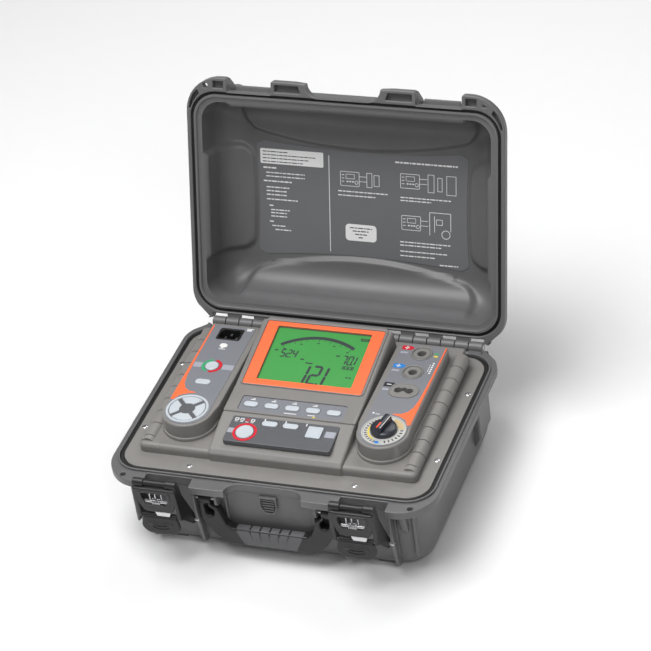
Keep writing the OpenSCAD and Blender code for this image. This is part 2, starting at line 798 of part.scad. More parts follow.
module f_key(k) { field_key(f_keys[k], f_y, field_z(f_y), 17, 8, 0.6); }
module key_f1() { f_key(0); }
module key_f2() { f_key(1); }
module key_f3() { f_key(2); }
module key_f4() { f_key(3); }
module key_f5() { f_key(4); }
module key_small_1() { field_key(small_keys[0], small_y, pod_top(small_y), 19, 8, 1.4); }
module key_small_2() { field_key(small_keys[1], small_y, pod_top(small_y), 19, 8, 1.4); }
module key_square() { field_key(square_pos[0], square_pos[1], pod_top(square_pos[1]), 18, 18, 1.4); }

module key_start() {
    color([0.88, 0.88, 0.88]) translate([start_pos[0], 0, 0]) on_keys(start_pos[1], pod_top(start_pos[1])) {
        translate([0, 0, -4]) cylinder(h = 5.6, r = 10.5);
        translate([0, 0, -7]) cylinder(h = 4, r = 6);
    }
}

module key_power() {
    color([0.9, 0.9, 0.9]) translate([-strip_x, power_y, strip_z]) {
        translate([0, 0, -4.5]) cylinder(h = 6.4, r = 8);
        translate([0, 0, -8]) cylinder(h = 4, r = 5);
    }
}

module key_light() {
    color([0.9, 0.9, 0.9]) translate([-strip_x, light_y, strip_z]) {
        translate([-9.5, -4.5, -4.5]) cube([19, 9, 6]);
        translate([-6, -2.5, -8]) cube([12, 5, 4]);
    }
}

module nav_key(turn) {
    color([0.88, 0.89, 0.90]) translate([-strip_x, boss_y, 0]) {
        translate([0, 0, strip_z - 4]) linear_extrude(5.4) nav_quadrant(turn, 0);
        rotate(turn) translate([13.5, 0, strip_z - 8]) cylinder(h = 4.5, r = 3);
    }
}

module key_next() { nav_key(0); }
module key_up() { nav_key(90); }
module key_back() { nav_key(180); }
module key_down() { nav_key(270); }

// ---- electronics under the panel ----
module main_board() {
    color([0.05, 0.30, 0.15]) translate([0, 14, board_z]) slab(304, 190, 4, board_t);
}

post_x = 147.5;
post_y = [-70, 15, 100];

function deck_z(y) = deck_front_z + (y - deck_front) * (deck_back_z - deck_front_z) / (deck_back - deck_front);

module board_posts() {
    color([0.8, 0.65, 0.3]) both_sides() for (y = post_y) translate([post_x, y, board_z + board_t])
        cylinder(h = deck_z(y - 20) - skin - board_z - board_t, r = 3);
}

module battery_pack() {
    color([0.15, 0.35, 0.6]) translate([-85, 5, floor_t + 3.2]) {
        for (k = [-3:3]) translate([k * 18.4, 0, 9.2]) rotate([90, 0, 0])
            cylinder(h = 140, r = 9.1, center = true);
        translate([-63, -68, 4]) cube([126, 136, 8]);
    }
}

module charger_board() {
    color([0.05, 0.30, 0.15]) translate([30, -70, floor_t + 3.2]) {
        translate([0, 0, 6]) cube([110, 70, 1.6]);
        for (x = [4, 106], y = [4, 66]) translate([x, y, 0]) cylinder(h = 6.5, r = 3);
        translate([70, 20, 7]) cube([32, 34, 26]);
        for (x = [14, 34, 52]) translate([x, 20, 7]) cylinder(h = 22, r = 6.5);
    }
}

module hv_transformer() {
    color([0.25, 0.22, 0.16]) translate([90, 60, board_z - 34]) {
        translate([-24, -20, 0]) cube([48, 40, 34]);
        translate([-17, -26, 6]) cube([34, 52, 22]);
    }
}

module buzzer() {
    color([0.03, 0.03, 0.03]) translate([0, -60, board_z + board_t]) difference() {
        cylinder(h = 12, r = 12);
        translate([0, 0, 8]) cylinder(h = 6, r = 2);
    }
}

// Rubber contact mats that spring the keys back
module keypad_mat() {
    color([0.10, 0.10, 0.10]) {
        on_keys(f_y, field_z(f_y) - 10) translate([-60, -8, 0]) cube([120, 16, 1.4]);
        on_keys(-66, pod_top(-66) - 12) translate([-56, -17, 0]) cube([104, 32, 1.4]);
    }
}

module strip_mat() {
    color([0.10, 0.10, 0.10]) translate([-strip_x, 0, strip_z - 11]) linear_extrude(1.4) {
        translate([0, 12]) square([30, 56], center = true);
        translate([0, boss_y]) circle(22);
    }
}

base_shell();
panel_seal();
hinge_pins();
case_pins();
front_panel();
panel_screws();
display_bezel();
lcd_window();
lcd_panel();
left_overlay();
right_overlay();
key_overlay();
control_pod();
socket_red();
socket_blue();
socket_guard();
socket_contacts();
mains_inlet();
inlet_pins();
charge_lamp();
dial_plate();
rotary_switch();
main_board();
board_posts();
battery_pack();
charger_board();
hv_transformer();
buzzer();
keypad_mat();
strip_mat();
lid_shell();
lid_gasket();
lid_label();
latch_left();
latch_right();
trigger_left();
trigger_right();
spring_left();
spring_right();
handle_frame();
handle_grip();
selector_knob();
switch_shaft();
key_power();
key_light();
key_up();
key_down();
key_back();
key_next();
key_f1();
key_f2();
key_f3();
key_f4();
key_f5();
key_small_1();
key_small_2();
key_square();
key_start();
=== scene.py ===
"""Looks of the insulation resistance tester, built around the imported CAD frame.

Helper sizes are millimetres in the row frame; meshes are stored in metres.
"""

import json  # noqa: E402
import math  # noqa: E402

import bmesh  # noqa: E402
import bpy  # noqa: E402
from mathutils import Matrix, Vector  # noqa: E402
from mathutils.geometry import tessellate_polygon  # noqa: E402

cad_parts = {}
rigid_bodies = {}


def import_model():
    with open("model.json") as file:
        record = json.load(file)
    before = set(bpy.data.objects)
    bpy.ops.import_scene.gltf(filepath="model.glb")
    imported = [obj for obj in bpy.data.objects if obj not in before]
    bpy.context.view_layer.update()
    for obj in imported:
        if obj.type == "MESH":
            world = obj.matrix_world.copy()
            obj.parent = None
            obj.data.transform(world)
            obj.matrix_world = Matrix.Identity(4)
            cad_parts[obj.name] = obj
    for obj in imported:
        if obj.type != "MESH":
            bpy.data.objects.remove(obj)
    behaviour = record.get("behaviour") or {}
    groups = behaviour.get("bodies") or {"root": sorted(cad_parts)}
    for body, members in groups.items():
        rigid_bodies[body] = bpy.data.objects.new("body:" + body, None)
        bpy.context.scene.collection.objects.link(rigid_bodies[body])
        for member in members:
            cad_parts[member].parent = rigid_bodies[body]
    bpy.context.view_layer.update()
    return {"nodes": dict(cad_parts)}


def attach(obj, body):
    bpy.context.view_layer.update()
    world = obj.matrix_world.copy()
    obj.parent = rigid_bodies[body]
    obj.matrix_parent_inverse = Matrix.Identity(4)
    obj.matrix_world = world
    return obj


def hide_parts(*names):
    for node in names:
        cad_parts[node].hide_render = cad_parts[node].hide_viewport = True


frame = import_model()

MM = 0.001
RIM = 102.0
FLANGE = 10.0
CASE_W, CASE_D = 390.0, 290.0
FRONT = -CASE_D / 2
TUB_W, TUB_FRONT, TUB_BACK, TUB_R = 362.0, -128.0, 141.0, 32.0
TUB_Y = (TUB_FRONT + TUB_BACK) / 2
HINGE = Vector((0, 155, 103))
LID_OPEN = math.radians(-108.5)
LID_Z = RIM + 0.4
LID_TOP = 172.0
PLATE_Y = 7.0
STRIP_X, STRIP_Z = 118.0, 137.0
BOSS_Y = -52.0
LATCH_X = 116.0
SEAT_W, SEAT_D, SEAT_R = 374.6, 264.6, 29.0
TONGUE_W, TONGUE_H = 2.4, 2.6
PADLOCK_X, PADLOCK_Y = 170.5, -135
KNUCKLE_X, KNUCKLE_PITCH = 50, 17
HANDLE_Y, HANDLE_Z = -135.5, 82
INLET_Y, SOCKET_YS, GUARD_Y = 89, (90, 55), 20.5
KEY_XS = (-50, -25, 0, 25, 50)
SCREWS = ((-110, 98.6), (-52, 176.3), (68, 176.3), (125, 98.6))

# ---------------------------------------------------------------- frames
OPEN_LID = (
    Matrix.Translation(HINGE) @ Matrix.Rotation(LID_OPEN, 4, "X") @ Matrix.Translation(-HINGE)
)
ALONG_X = Matrix(((0, 0, 1, 0), (1, 0, 0, 0), (0, 1, 0, 0), (0, 0, 0, 1)))
ALONG_Y = Matrix(((1, 0, 0, 0), (0, 0, -1, 0), (0, 1, 0, 0), (0, 0, 0, 1)))


def at(x, y, z, turn=0.0):
    return Matrix.Translation((x, y, z)) @ Matrix.Rotation(math.radians(turn), 4, "Z")


def on_slope(y, z, slope):
    return Matrix.Translation((0, y, z)) @ Matrix.Rotation(math.radians(slope), 4, "X")


HUMP_FRONT, KEY_SLOPE, DISPLAY_SLOPE = 3.5, 5.0, 9.2
GROOVE_Y = -42.0
KEYS_Z = RIM + 30.6
HUMP_Z = KEYS_Z + (HUMP_FRONT - GROOVE_Y) * math.tan(math.radians(KEY_SLOPE))
POD_Y, POD_D, POD_W, POD_Z = -87.0, 41.0, 128.0, RIM + 25.3


def field_z(y):
    return KEYS_Z + (y - GROOVE_Y) * math.tan(math.radians(KEY_SLOPE))


def pod_top(y):
    return POD_Z + (y - POD_Y) * math.tan(math.radians(KEY_SLOPE))


DISPLAY = on_slope(HUMP_FRONT, HUMP_Z, DISPLAY_SLOPE)


# ---------------------------------------------------------------- outlines
def arc(cx, cy, r, a0, a1, n):
    return [
        (cx + r * math.cos(math.radians(a0 + (a1 - a0) * k / n)),
         cy + r * math.sin(math.radians(a0 + (a1 - a0) * k / n)))
        for k in range(n + 1)
    ]


def circle(r, cx=0.0, cy=0.0, n=48):
    return arc(cx, cy, r, 0, 360 - 360 / n, n - 1)


def rect(w, d, r, cx=0.0, cy=0.0, n=8):
    """Rounded rectangle, counter-clockwise."""
    r = max(min(r, w / 2 - 0.01, d / 2 - 0.01), 0.01)
    pts = []
    for sx, sy, a in ((1, -1, -90), (1, 1, 0), (-1, 1, 90), (-1, -1, 180)):
        pts += arc(cx + sx * (w / 2 - r), cy + sy * (d / 2 - r), r, a, a + 90, n)
    return pts


def fillet(points, radius, n=5):
    """The outline with its corners rounded. radius is one number or one for each corner."""
    out = []
    count = len(points)
    for i, p in enumerate(points):
        r = radius[i] if isinstance(radius, (list, tuple)) else radius
        p = Vector(p)
        a = Vector(points[i - 1]) - p
        b = Vector(points[(i + 1) % count]) - p
        la, lb = a.length, b.length
        a.normalize()
        b.normalize()
        turn = math.pi - a.angle(b)
        if r <= 0 or turn < 0.03:
            out.append(tuple(p))
            continue
        back = min(r * math.tan(turn / 2), 0.48 * la, 0.48 * lb)
        p0, p1 = p + a * back, p + b * back
        for k in range(n + 1):
            t = k / n
            q = p0 * (1 - t) ** 2 + p * 2 * t * (1 - t) + p1 * t * t
            out.append((q.x, q.y))
    return out


def area(loop):
    return sum(
        loop[i - 1][0] * loop[i][1] - loop[i][0] * loop[i - 1][1] for i in range(len(loop))
    ) / 2


def mirrored(loop):
    return [(-x, y) for x, y in reversed(loop)]


# ---------------------------------------------------------------- solids
def tidy(bm):
    bmesh.ops.remove_doubles(bm, verts=bm.verts, dist=1e-6)
    bmesh.ops.recalc_face_normals(bm, faces=bm.faces)
    return bm


def plate(loops, z0, z1, edge=0.5, steps=2, place=None):
    """A slab between z0 and z1 from one outline and its holes, with rounded rims."""
    if isinstance(loops[0][0], (int, float)):
        loops = [loops]
    bm = bmesh.new()
    edge = min(edge, (z1 - z0) * 0.48)
    levels = []
    for k in range(steps + 1):
        a = math.pi / 2 * k / steps
        levels.append((edge * (1 - math.sin(a)), z0 + edge * (1 - math.cos(a))))
    levels += [(inset, z0 + z1 - z) for inset, z in reversed(levels)]
    if edge <= 0:
        levels = [(0, z0), (0, z1)]
    rings = []
    for i, loop in enumerate(loops):
        if (area(loop) > 0) != (i == 0):
            loop = loop[::-1]
        count = len(loop)
        miters = []
        for j in range(count):
            a, p, b = (Vector(loop[j - 1]), Vector(loop[j]), Vector(loop[(j + 1) % count]))
            u, v = (p - a), (b - p)
            if u.length < 1e-9 or v.length < 1e-9:
                u = v = u + v
            u.normalize()
            v.normalize()
            n = Vector((u.y + v.y, -u.x - v.x))
            n = n.normalized() if n.length > 1e-6 else Vector((u.y, -u.x))
            miters.append(n / max(n.dot(Vector((u.y, -u.x))), 0.4))
        rings.append([
            [bm.verts.new((p[0] - m.x * inset, p[1] - m.y * inset, z)) for p, m in zip(loop, miters)]
            for inset, z in levels
        ])
    for ring in rings:
        for low, high in zip(ring, ring[1:]):
            for j in range(len(low)):
                bm.faces.new((low[j - 1], low[j], high[j], high[j - 1]))
    for end in (0, -1):
        flat = [v for ring in rings for v in ring[end]]
        for tri in tessellate_polygon([[v.co for v in ring[end]] for ring in rings]):
            if len(set(tri)) == 3:
                try:
                    bm.faces.new([flat[t] for t in tri])
                except ValueError:
                    pass
    if place is not None:
        bm.transform(place)
    return tidy(bm)


def along_x(loops, x0, x1, edge=0.5, steps=2):
    """A Y-Z outline drawn out along X."""
    return plate(loops, x0, x1, edge, steps, ALONG_X)


def along_y(loops, y0, y1, edge=0.5, steps=2):
    """An X-Z outline drawn out along Y."""
    return plate(loops, -y1, -y0, edge, steps, ALONG_Y)


def loft(rings, close=True, fan=True):
    """A skin over closed rings with the same number of points, with or without end caps."""
    bm = bmesh.new()
    made = [[bm.verts.new(p) for p in ring] for ring in rings]
    for low, high in zip(made, made[1:]):
        for j in range(len(low)):
            bm.faces.new((low[j - 1], low[j], high[j], high[j - 1]))
    if close:
        for ring in (made[0], made[-1]):
            if fan:
                mid = bm.verts.new(sum((v.co for v in ring), Vector()) / len(ring))
                for j in range(len(ring)):
                    bm.faces.new((ring[j - 1], ring[j], mid))
            else:
                bm.faces.new(ring)
    return tidy(bm)


def lathe(profile, place=None, n=48):
    """Turns (radius, height) points round Z. The first and last points may sit on the axis."""
    bm = bmesh.new()
    rings = []
    for r, z in profile:
        if r < 1e-6:
            rings.append([bm.verts.new((0, 0, z))])
        else:
            rings.append([
                bm.verts.new((r * math.cos(2 * math.pi * k / n), r * math.sin(2 * math.pi * k / n), z))
                for k in range(n)
            ])
    for a, b in zip(rings, rings[1:]):
        for k in range(n):
            if len(a) == 1 and len(b) == 1:
                continue
            if len(a) == 1:
                bm.faces.new((a[0], b[k - 1], b[k]))
            elif len(b) == 1:
                bm.faces.new((a[k - 1], a[k], b[0]))
            else:
                bm.faces.new((a[k - 1], a[k], b[k], b[k - 1]))
    if place is not None:
        bm.transform(place)
    return tidy(bm)


def rod(x0, x1, y, z, r, edge=0.8, n=32):
    """A round bar along X with rounded ends."""
    profile = [(0, 0), (r - edge, 0), (r - edge * 0.3, edge * 0.3), (r, edge), (r, x1 - x0 - edge),
               (r - edge * 0.3, x1 - x0 - edge * 0.3), (r - edge, x1 - x0), (0, x1 - x0)]
    place = Matrix.Translation((x0, y, z)) @ Matrix.Rotation(math.pi / 2, 4, "Y")
    return lathe(profile, place, n)


def tube(path, r, n=10):
    """A round wire along the points."""
    rings = []
    side = Vector((0, 0, 1))
    for i, p in enumerate(path):
        d = (Vector(path[min(i + 1, len(path) - 1)]) - Vector(path[max(i - 1, 0)])).normalized()
        if abs(d.dot(side)) > 0.95:
            side = Vector((1, 0, 0))
        u = d.cross(side).normalized()
        w = u.cross(d).normalized()
        side = w
        rings.append([
            Vector(p) + u * r * math.cos(2 * math.pi * k / n) + w * r * math.sin(2 * math.pi * k / n)
            for k in range(n)
        ])
    return loft(rings)


def merged(*parts):
    """Several shells that don't meet, in one mesh."""
    out = bmesh.new()
    for bm in parts:
        held = bpy.data.meshes.new("held")
        bm.to_mesh(held)
        out.from_mesh(held)
        bpy.data.meshes.remove(held)
        bm.free()
    return out


def moved(bm, m):
    bm.transform(m)
    if m.determinant() < 0:
        bmesh.ops.reverse_faces(bm, faces=bm.faces)
    return bm


MIRROR = Matrix.Diagonal((-1, 1, 1, 1))


def both(bm):
    """The solid and its mirror image in X."""
    other = moved(bm.copy(), MIRROR)
    return merged(bm, other)


def loose_object(bm, name="tool"):
    mesh = bpy.data.meshes.new(name)
    bm.to_mesh(mesh)
    bm.free()
    obj = bpy.data.objects.new(name, mesh)
    bpy.context.scene.collection.objects.link(obj)
    return obj


def combined(first, others, operation):
    """Exact union or difference of the first solid with the others."""
    obj = loose_object(first)
    group = bpy.data.collections.new("tools")
    bpy.context.scene.collection.children.link(group)
    for bm in others:
        mesh = bpy.data.meshes.new("tool")
        bm.to_mesh(mesh)
        bm.free()
        group.objects.link(bpy.data.objects.new("tool", mesh))
    mod = obj.modifiers.new("combine", "BOOLEAN")
    mod.operation = operation
    mod.solver = "EXACT"
    mod.operand_type = "COLLECTION"
    mod.collection = group
    mod.use_self = operation == "UNION"
    graph = bpy.context.evaluated_depsgraph_get()
    result = bmesh.new()
    held = bpy.data.meshes.new_from_object(obj.evaluated_get(graph))
    result.from_mesh(held)
    for o in [obj, *group.objects]:
        mesh = o.data
        bpy.data.objects.remove(o)
        bpy.data.meshes.remove(mesh)
    bpy.data.collections.remove(group)
    bpy.data.meshes.remove(held)
    bmesh.ops.remove_doubles(result, verts=result.verts, dist=1e-5)
    bmesh.ops.dissolve_degenerate(result, edges=result.edges, dist=1e-5)
    return result


def union(first, *others):
    return combined(first, others, "UNION")


def cut(first, *others):
    return combined(first, others, "DIFFERENCE")


def piece(name, bm, mat, body="case", slot=None, replaces=(), sharp=34, soften=True):
    """A finished piece: its mesh in metres, its material and the body it rides on.

    The slot argument is not used.
    """
    bm.transform(Matrix.Scale(MM, 4))
    mesh = bpy.data.meshes.new(name)
    bm.to_mesh(mesh)
    bm.free()
    mesh.polygons.foreach_set("use_smooth", [True] * len(mesh.polygons))
    mesh.set_sharp_from_angle(angle=math.radians(sharp))
    obj = bpy.data.objects.new(name, mesh)
    bpy.context.scene.collection.objects.link(obj)
    mesh.materials.append(mat)
    if soften:
        mod = obj.modifiers.new("even normals", "WEIGHTED_NORMAL")
        mod.keep_sharp = True
    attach(obj, body)
    if replaces:
        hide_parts(*replaces)
    return obj


def looks(node, bm, mat, body="case", **options):
    """A piece that stands in for one CAD node."""
    return piece(node + "_looks", bm, mat, body, replaces=[node], **options)


# ---------------------------------------------------------------- materials
def principled(name):
    mat = bpy.data.materials.new(name)
    mat.use_nodes = True
    tree = mat.node_tree
    return mat, tree, tree.nodes["Principled BSDF"]


def add_node(tree, kind, values=(), **links):
    """A shader node with its constant inputs set and the named inputs joined to outputs."""
    node = tree.nodes.new("ShaderNode" + kind)
    for key, value in values:
        node.inputs[key].default_value = value
    for key, source in links.items():
        tree.links.new(source, node.inputs[key])
    return node


def blend(tree, factor, a, b):
    """A colour between a and b; a may be another node's output."""
    node = tree.nodes.new("ShaderNodeMix")
    node.data_type = "RGBA"
    tree.links.new(factor, node.inputs["Factor"])
    if isinstance(a, tuple):
        node.inputs["A"].default_value = a
    else:
        tree.links.new(a, node.inputs["A"])
    node.inputs["B"].default_value = b
    return node.outputs["Result"]


def moulded(name, rgb, rough=0.5, grain=1400.0, bump=0.12, mottle=0.08, edge_highlight=0.0, specular=0.5,
            metallic=0.0, coat=0.0, glow=0.0, streak=1.0):
    """Plastic, rubber or metal with fine grain, slight mottling and painted highlights on its convex edges.
    """
    mat, tree, shader = principled(name)
    links = tree.links
    place = add_node(tree, "TexCoord")
    stretch = add_node(tree, "Mapping", [("Scale", (1.0, 1.0, streak))], Vector=place.outputs["Object"])
    spot = stretch.outputs["Vector"]
    broad = add_node(tree, "TexNoise", [("Scale", 38.0), ("Detail", 5.0)], Vector=spot)
    fine = add_node(tree, "TexNoise", [("Scale", grain), ("Detail", 3.0)], Vector=spot)
    colour = blend(tree, broad.outputs["Fac"], (*[c * (1 - mottle) for c in rgb], 1),
                   (*[min(c * (1 + mottle), 1) for c in rgb], 1))
    # painted highlight: edges found by pointiness are made lighter, standing in for light caught on the
    # rims
    if edge_highlight > 0:
        shape = add_node(tree, "NewGeometry")
        edge = add_node(tree, "MapRange", [("From Min", 0.53), ("From Max", 0.62), ("To Max", edge_highlight)],
                        Value=shape.outputs["Pointiness"])
        colour = blend(tree, edge.outputs["Result"], colour, (*[min(c * 1.9 + 0.03, 1) for c in rgb], 1))
    links.new(colour, shader.inputs["Base Color"])
    matt = add_node(tree, "MapRange", [("To Min", max(rough - 0.07, 0.02)), ("To Max",
        min(rough + 0.07, 1.0))],
                    Value=broad.outputs["Fac"])
    links.new(matt.outputs["Result"], shader.inputs["Roughness"])
    if bump > 0:
        dent = add_node(tree, "Bump", [("Strength", bump), ("Distance", 0.0004)],
            Height=fine.outputs["Fac"])
        links.new(dent.outputs["Normal"], shader.inputs["Normal"])
    constants = {"Specular IOR Level": specular, "Metallic": metallic, "Coat Weight": coat,
        "Coat Roughness": 0.25}
    for key, value in constants.items():
        shader.inputs[key].default_value = value
    if glow > 0:
        links.new(colour, shader.inputs["Emission Color"])
        shader.inputs["Emission Strength"].default_value = glow
    return mat


# for CASE, PANEL, BLACK and KNOB the last argument paints their convex edges lighter: a painted highlight
CASE = moulded("case_grey", (0.125, 0.124, 0.127), 0.40, bump=0.22, edge_highlight=0.45)
PANEL = moulded("panel_grey", (0.215, 0.206, 0.197), 0.48, bump=0.16, edge_highlight=0.3)
BLACK = moulded("moulded_black", (0.014, 0.014, 0.0145), 0.40, bump=0.14, edge_highlight=0.25)
SEAL = moulded("gasket_black", (0.006, 0.006, 0.006), 0.6, grain=600, bump=0.2)
STEEL = moulded("steel", (0.62, 0.62, 0.63), 0.28, metallic=1.0, bump=0.05, grain=2200, streak=6)
ORANGE = moulded("bezel_orange", (1.0, 0.16, 0.05), 0.42, bump=0.05, mottle=0.03)
OVERLAY = moulded("overlay_grey", (0.205, 0.212, 0.235), 0.36, bump=0.06, mottle=0.03)
POD = moulded("pod_grey", (0.10, 0.104, 0.113), 0.38, bump=0.06, mottle=0.04)
SOCKET = moulded("socket_grey", (0.22, 0.215, 0.205), 0.45, bump=0.1)
BRASS = moulded("brass", (0.78, 0.56, 0.24), 0.3, metallic=1.0, bump=0.04)
KEY = moulded("key_pale", (0.52, 0.56, 0.60), 0.38, bump=0.05, mottle=0.03)
WHITE, PALE, RED, BLUE, GREEN, YELLOW, TAN, INK = (
    moulded(name + "_print", rgb, 0.4, bump=0.0, mottle=mottle)
    for name, rgb, mottle in (
        ("white", (0.80, 0.80, 0.80), 0.02),
        ("pale", (0.36, 0.37, 0.42), 0.02),
        ("red", (0.60, 0.012, 0.03), 0.03),
        ("blue", (0.03, 0.22, 0.60), 0.03),
        ("green", (0.04, 0.38, 0.16), 0.03),
        ("yellow", (0.80, 0.62, 0.06), 0.03),
        ("tan", (0.55, 0.42, 0.22), 0.03),
        ("dark", (0.02, 0.021, 0.028), 0.03),
    )
)
DIAL = moulded("dial_ring", (0.50, 0.50, 0.48), 0.4, bump=0.03, mottle=0.03)
KNOB = moulded("knob_dark", (0.022, 0.026, 0.036), 0.32, bump=0.06, mottle=0.1, edge_highlight=0.3)
GRIP = moulded("grip_rubber", (0.105, 0.105, 0.11), 0.6, grain=900, bump=0.3)
LABEL = moulded("label_grey", (0.150, 0.153, 0.160), 0.4, bump=0.04, mottle=0.03)
LAMP = moulded("lamp_white", (0.85, 0.85, 0.80), 0.25, bump=0.02, mottle=0.02)
BOARD = moulded("circuit_green", (0.01, 0.12, 0.04), 0.35, bump=0.08)
WRAP = moulded("battery_wrap", (0.05, 0.14, 0.36), 0.35, bump=0.04)
CORE = moulded("transformer_core", (0.10, 0.085, 0.06), 0.5, bump=0.15)
SWITCH = moulded("switch_blue", (0.03, 0.07, 0.2), 0.45, bump=0.1)
LCD = moulded("lcd_green", (0.016, 0.25, 0.028), 0.5, grain=500, bump=0.0, mottle=0.04, glow=0.2)
SEGMENT = moulded("lcd_segment", (0.002, 0.008, 0.016), 0.5, bump=0.0, mottle=0.02)


def clear_window():
    mat, tree, shader = principled("window_clear")
    place = add_node(tree, "TexCoord")
    haze = add_node(tree, "TexNoise", [("Scale", 60.0)], Vector=place.outputs["Object"])
    span = add_node(tree, "MapRange", [("To Min", 0.03), ("To Max", 0.08)], Value=haze.outputs["Fac"])
    tree.links.new(span.outputs["Result"], shader.inputs["Roughness"])
    shader.inputs["Base Color"].default_value = (0.75, 0.9, 0.75, 1)
    shader.inputs["Alpha"].default_value = 0.02
    shader.inputs["Specular IOR Level"].default_value = 0.1
    return mat


WINDOW = clear_window()

# CAD nodes that stay as they are and take a better material
KEPT = {
    "hinge_pins": STEEL, "case_pins": STEEL, "inlet_pins": STEEL, "switch_shaft": STEEL,
    "lcd_window": WINDOW, "lcd_panel": LCD, "socket_contacts": BRASS, "board_posts": BRASS,
    "main_board": BOARD, "charger_board": BOARD, "battery_pack": WRAP, "hv_transformer": CORE,
    "buzzer": BLACK, "rotary_switch": SWITCH, "keypad_mat": SEAL, "strip_mat": SEAL,
}
for node, mat in KEPT.items():
    mesh = frame["nodes"][node].data
    mesh.materials.clear()
    mesh.materials.append(mat)

# ---------------------------------------------------------------- camera, floor, light
scene = bpy.context.scene


def make_camera():
    data = bpy.data.cameras.new("camera")
    data.sensor_width = 36.0
    data.lens = 159.02
    data.clip_end = 50.0
    cam = bpy.data.objects.new("camera", data)
    right = Vector((0.9381, 0.3218, -0.1281))
    up = Vector((-0.0946, 0.5938, 0.7990))
    back = Vector((0.3332, -0.7374, 0.5875))
    turn = Matrix((right, up, back)).transposed().to_4x4()
    cam.matrix_world = Matrix.Translation((1.1066, -2.3500, 2.1082)) @ turn
    scene.collection.objects.link(cam)
    scene.camera = cam


def area_light(name, place, aim, size, power, colour=(1, 1, 1)):
    data = bpy.data.lights.new(name, "AREA")
    data.shape = "RECTANGLE"
    data.size, data.size_y = size
    data.energy = power
    data.color = colour
    lamp = bpy.data.objects.new(name, data)
    lamp.location = place
    lamp.rotation_euler = (Vector(aim) - Vector(place)).to_track_quat("-Z", "Y").to_euler()
    scene.collection.objects.link(lamp)


def make_stage():
    bm = bmesh.new()
    bmesh.ops.create_grid(bm, x_segments=8, y_segments=8, size=6.0)
    mesh = bpy.data.meshes.new("floor")
    bm.to_mesh(mesh)
    bm.free()
    floor = bpy.data.objects.new("floor", mesh)
    scene.collection.objects.link(floor)
    mesh.materials.append(moulded("floor_pale", (0.86, 0.86, 0.86), 0.8, grain=20, bump=0.0, mottle=0.01))
    world = bpy.data.worlds.new("studio")
    world.use_nodes = True
    world.node_tree.nodes["Background"].inputs["Color"].default_value = (1, 1, 1, 1)
    world.node_tree.nodes["Background"].inputs["Strength"].default_value = 0.14
    scene.world = world
    scene.view_settings.view_transform = "Standard"
    area_light("key", (-0.5, -0.4, 2.5), (0, 0.05, 0.15), (1.9, 1.5), 66)
    area_light("fill", (1.2, -1.7, 1.9), (0, 0.1, 0.2), (1.2, 0.8), 15)
    area_light("rim", (0.3, 1.6, 1.9), (0, 0.1, 0.2), (1.6, 0.7), 16)


make_camera()
make_stage()


# ---------------------------------------------------------------- case base
def flange_outline():
    """Outline of both flanges: latch slots, lugs and the hand recess along the front."""
    half, slot = CASE_W / 2, -129.0
    r, rb = 42.0, 35.0
    lug_y, clear_x = CASE_D / 2 + 6, 169.6
    right = arc(30, FRONT, 16, 90, 4, 8)
    right += fillet([(60, FRONT), (88.5, FRONT), (88.5, slot), (143.5, slot), (143.5, FRONT), (150, FRONT)],
                    [0, 3, 1.5, 1.5, 3, 0], 4)
    right += arc(half - r, FRONT + r, r, -90, 0, 12)
    right += arc(half - rb, lug_y - rb, rb, 0, 35.5, 6)
    right += fillet([(178, lug_y), (clear_x, lug_y), (clear_x, -FRONT), (150, -FRONT)], [3, 2, 0, 0], 4)
    return right + mirrored(right)


def seat(grow=0.0, n=12):
    """Outline of the panel's seat, made bigger all round."""
    return rect(SEAT_W + 2 * grow, SEAT_D + 2 * grow, SEAT_R + grow, 0, PLATE_Y, n)


def tub_ring(inset, z, n_arc=10):
    w, d = TUB_W - 2 * inset, TUB_BACK - TUB_FRONT - 2 * inset
    r = TUB_R - inset / 3
    return [Vector((x, y, z)) for x, y in rect(w, d, r, 0, TUB_Y, n_arc)]


def base_tub():
    rings = []
    for k in range(9):
        a = math.radians(90) * k / 8
        rings.append(tub_ring(2 + 22 * (1 - math.sin(a)), 0.6 + 24 * (1 - math.cos(a))))
    rings.append(tub_ring(0.8, 60))
    rings.append(tub_ring(0.2, RIM - FLANGE + 1))
    rings.append(tub_ring(4.2, RIM - FLANGE + 1))
    rings.append(tub_ring(4.8, 60))
    for k in range(9):
        a = math.radians(90) * (1 - k / 8)
        rings.append(tub_ring(6 + 20 * (1 - math.sin(a)), 5 + 22 * (1 - math.cos(a))))
    return loft(rings)


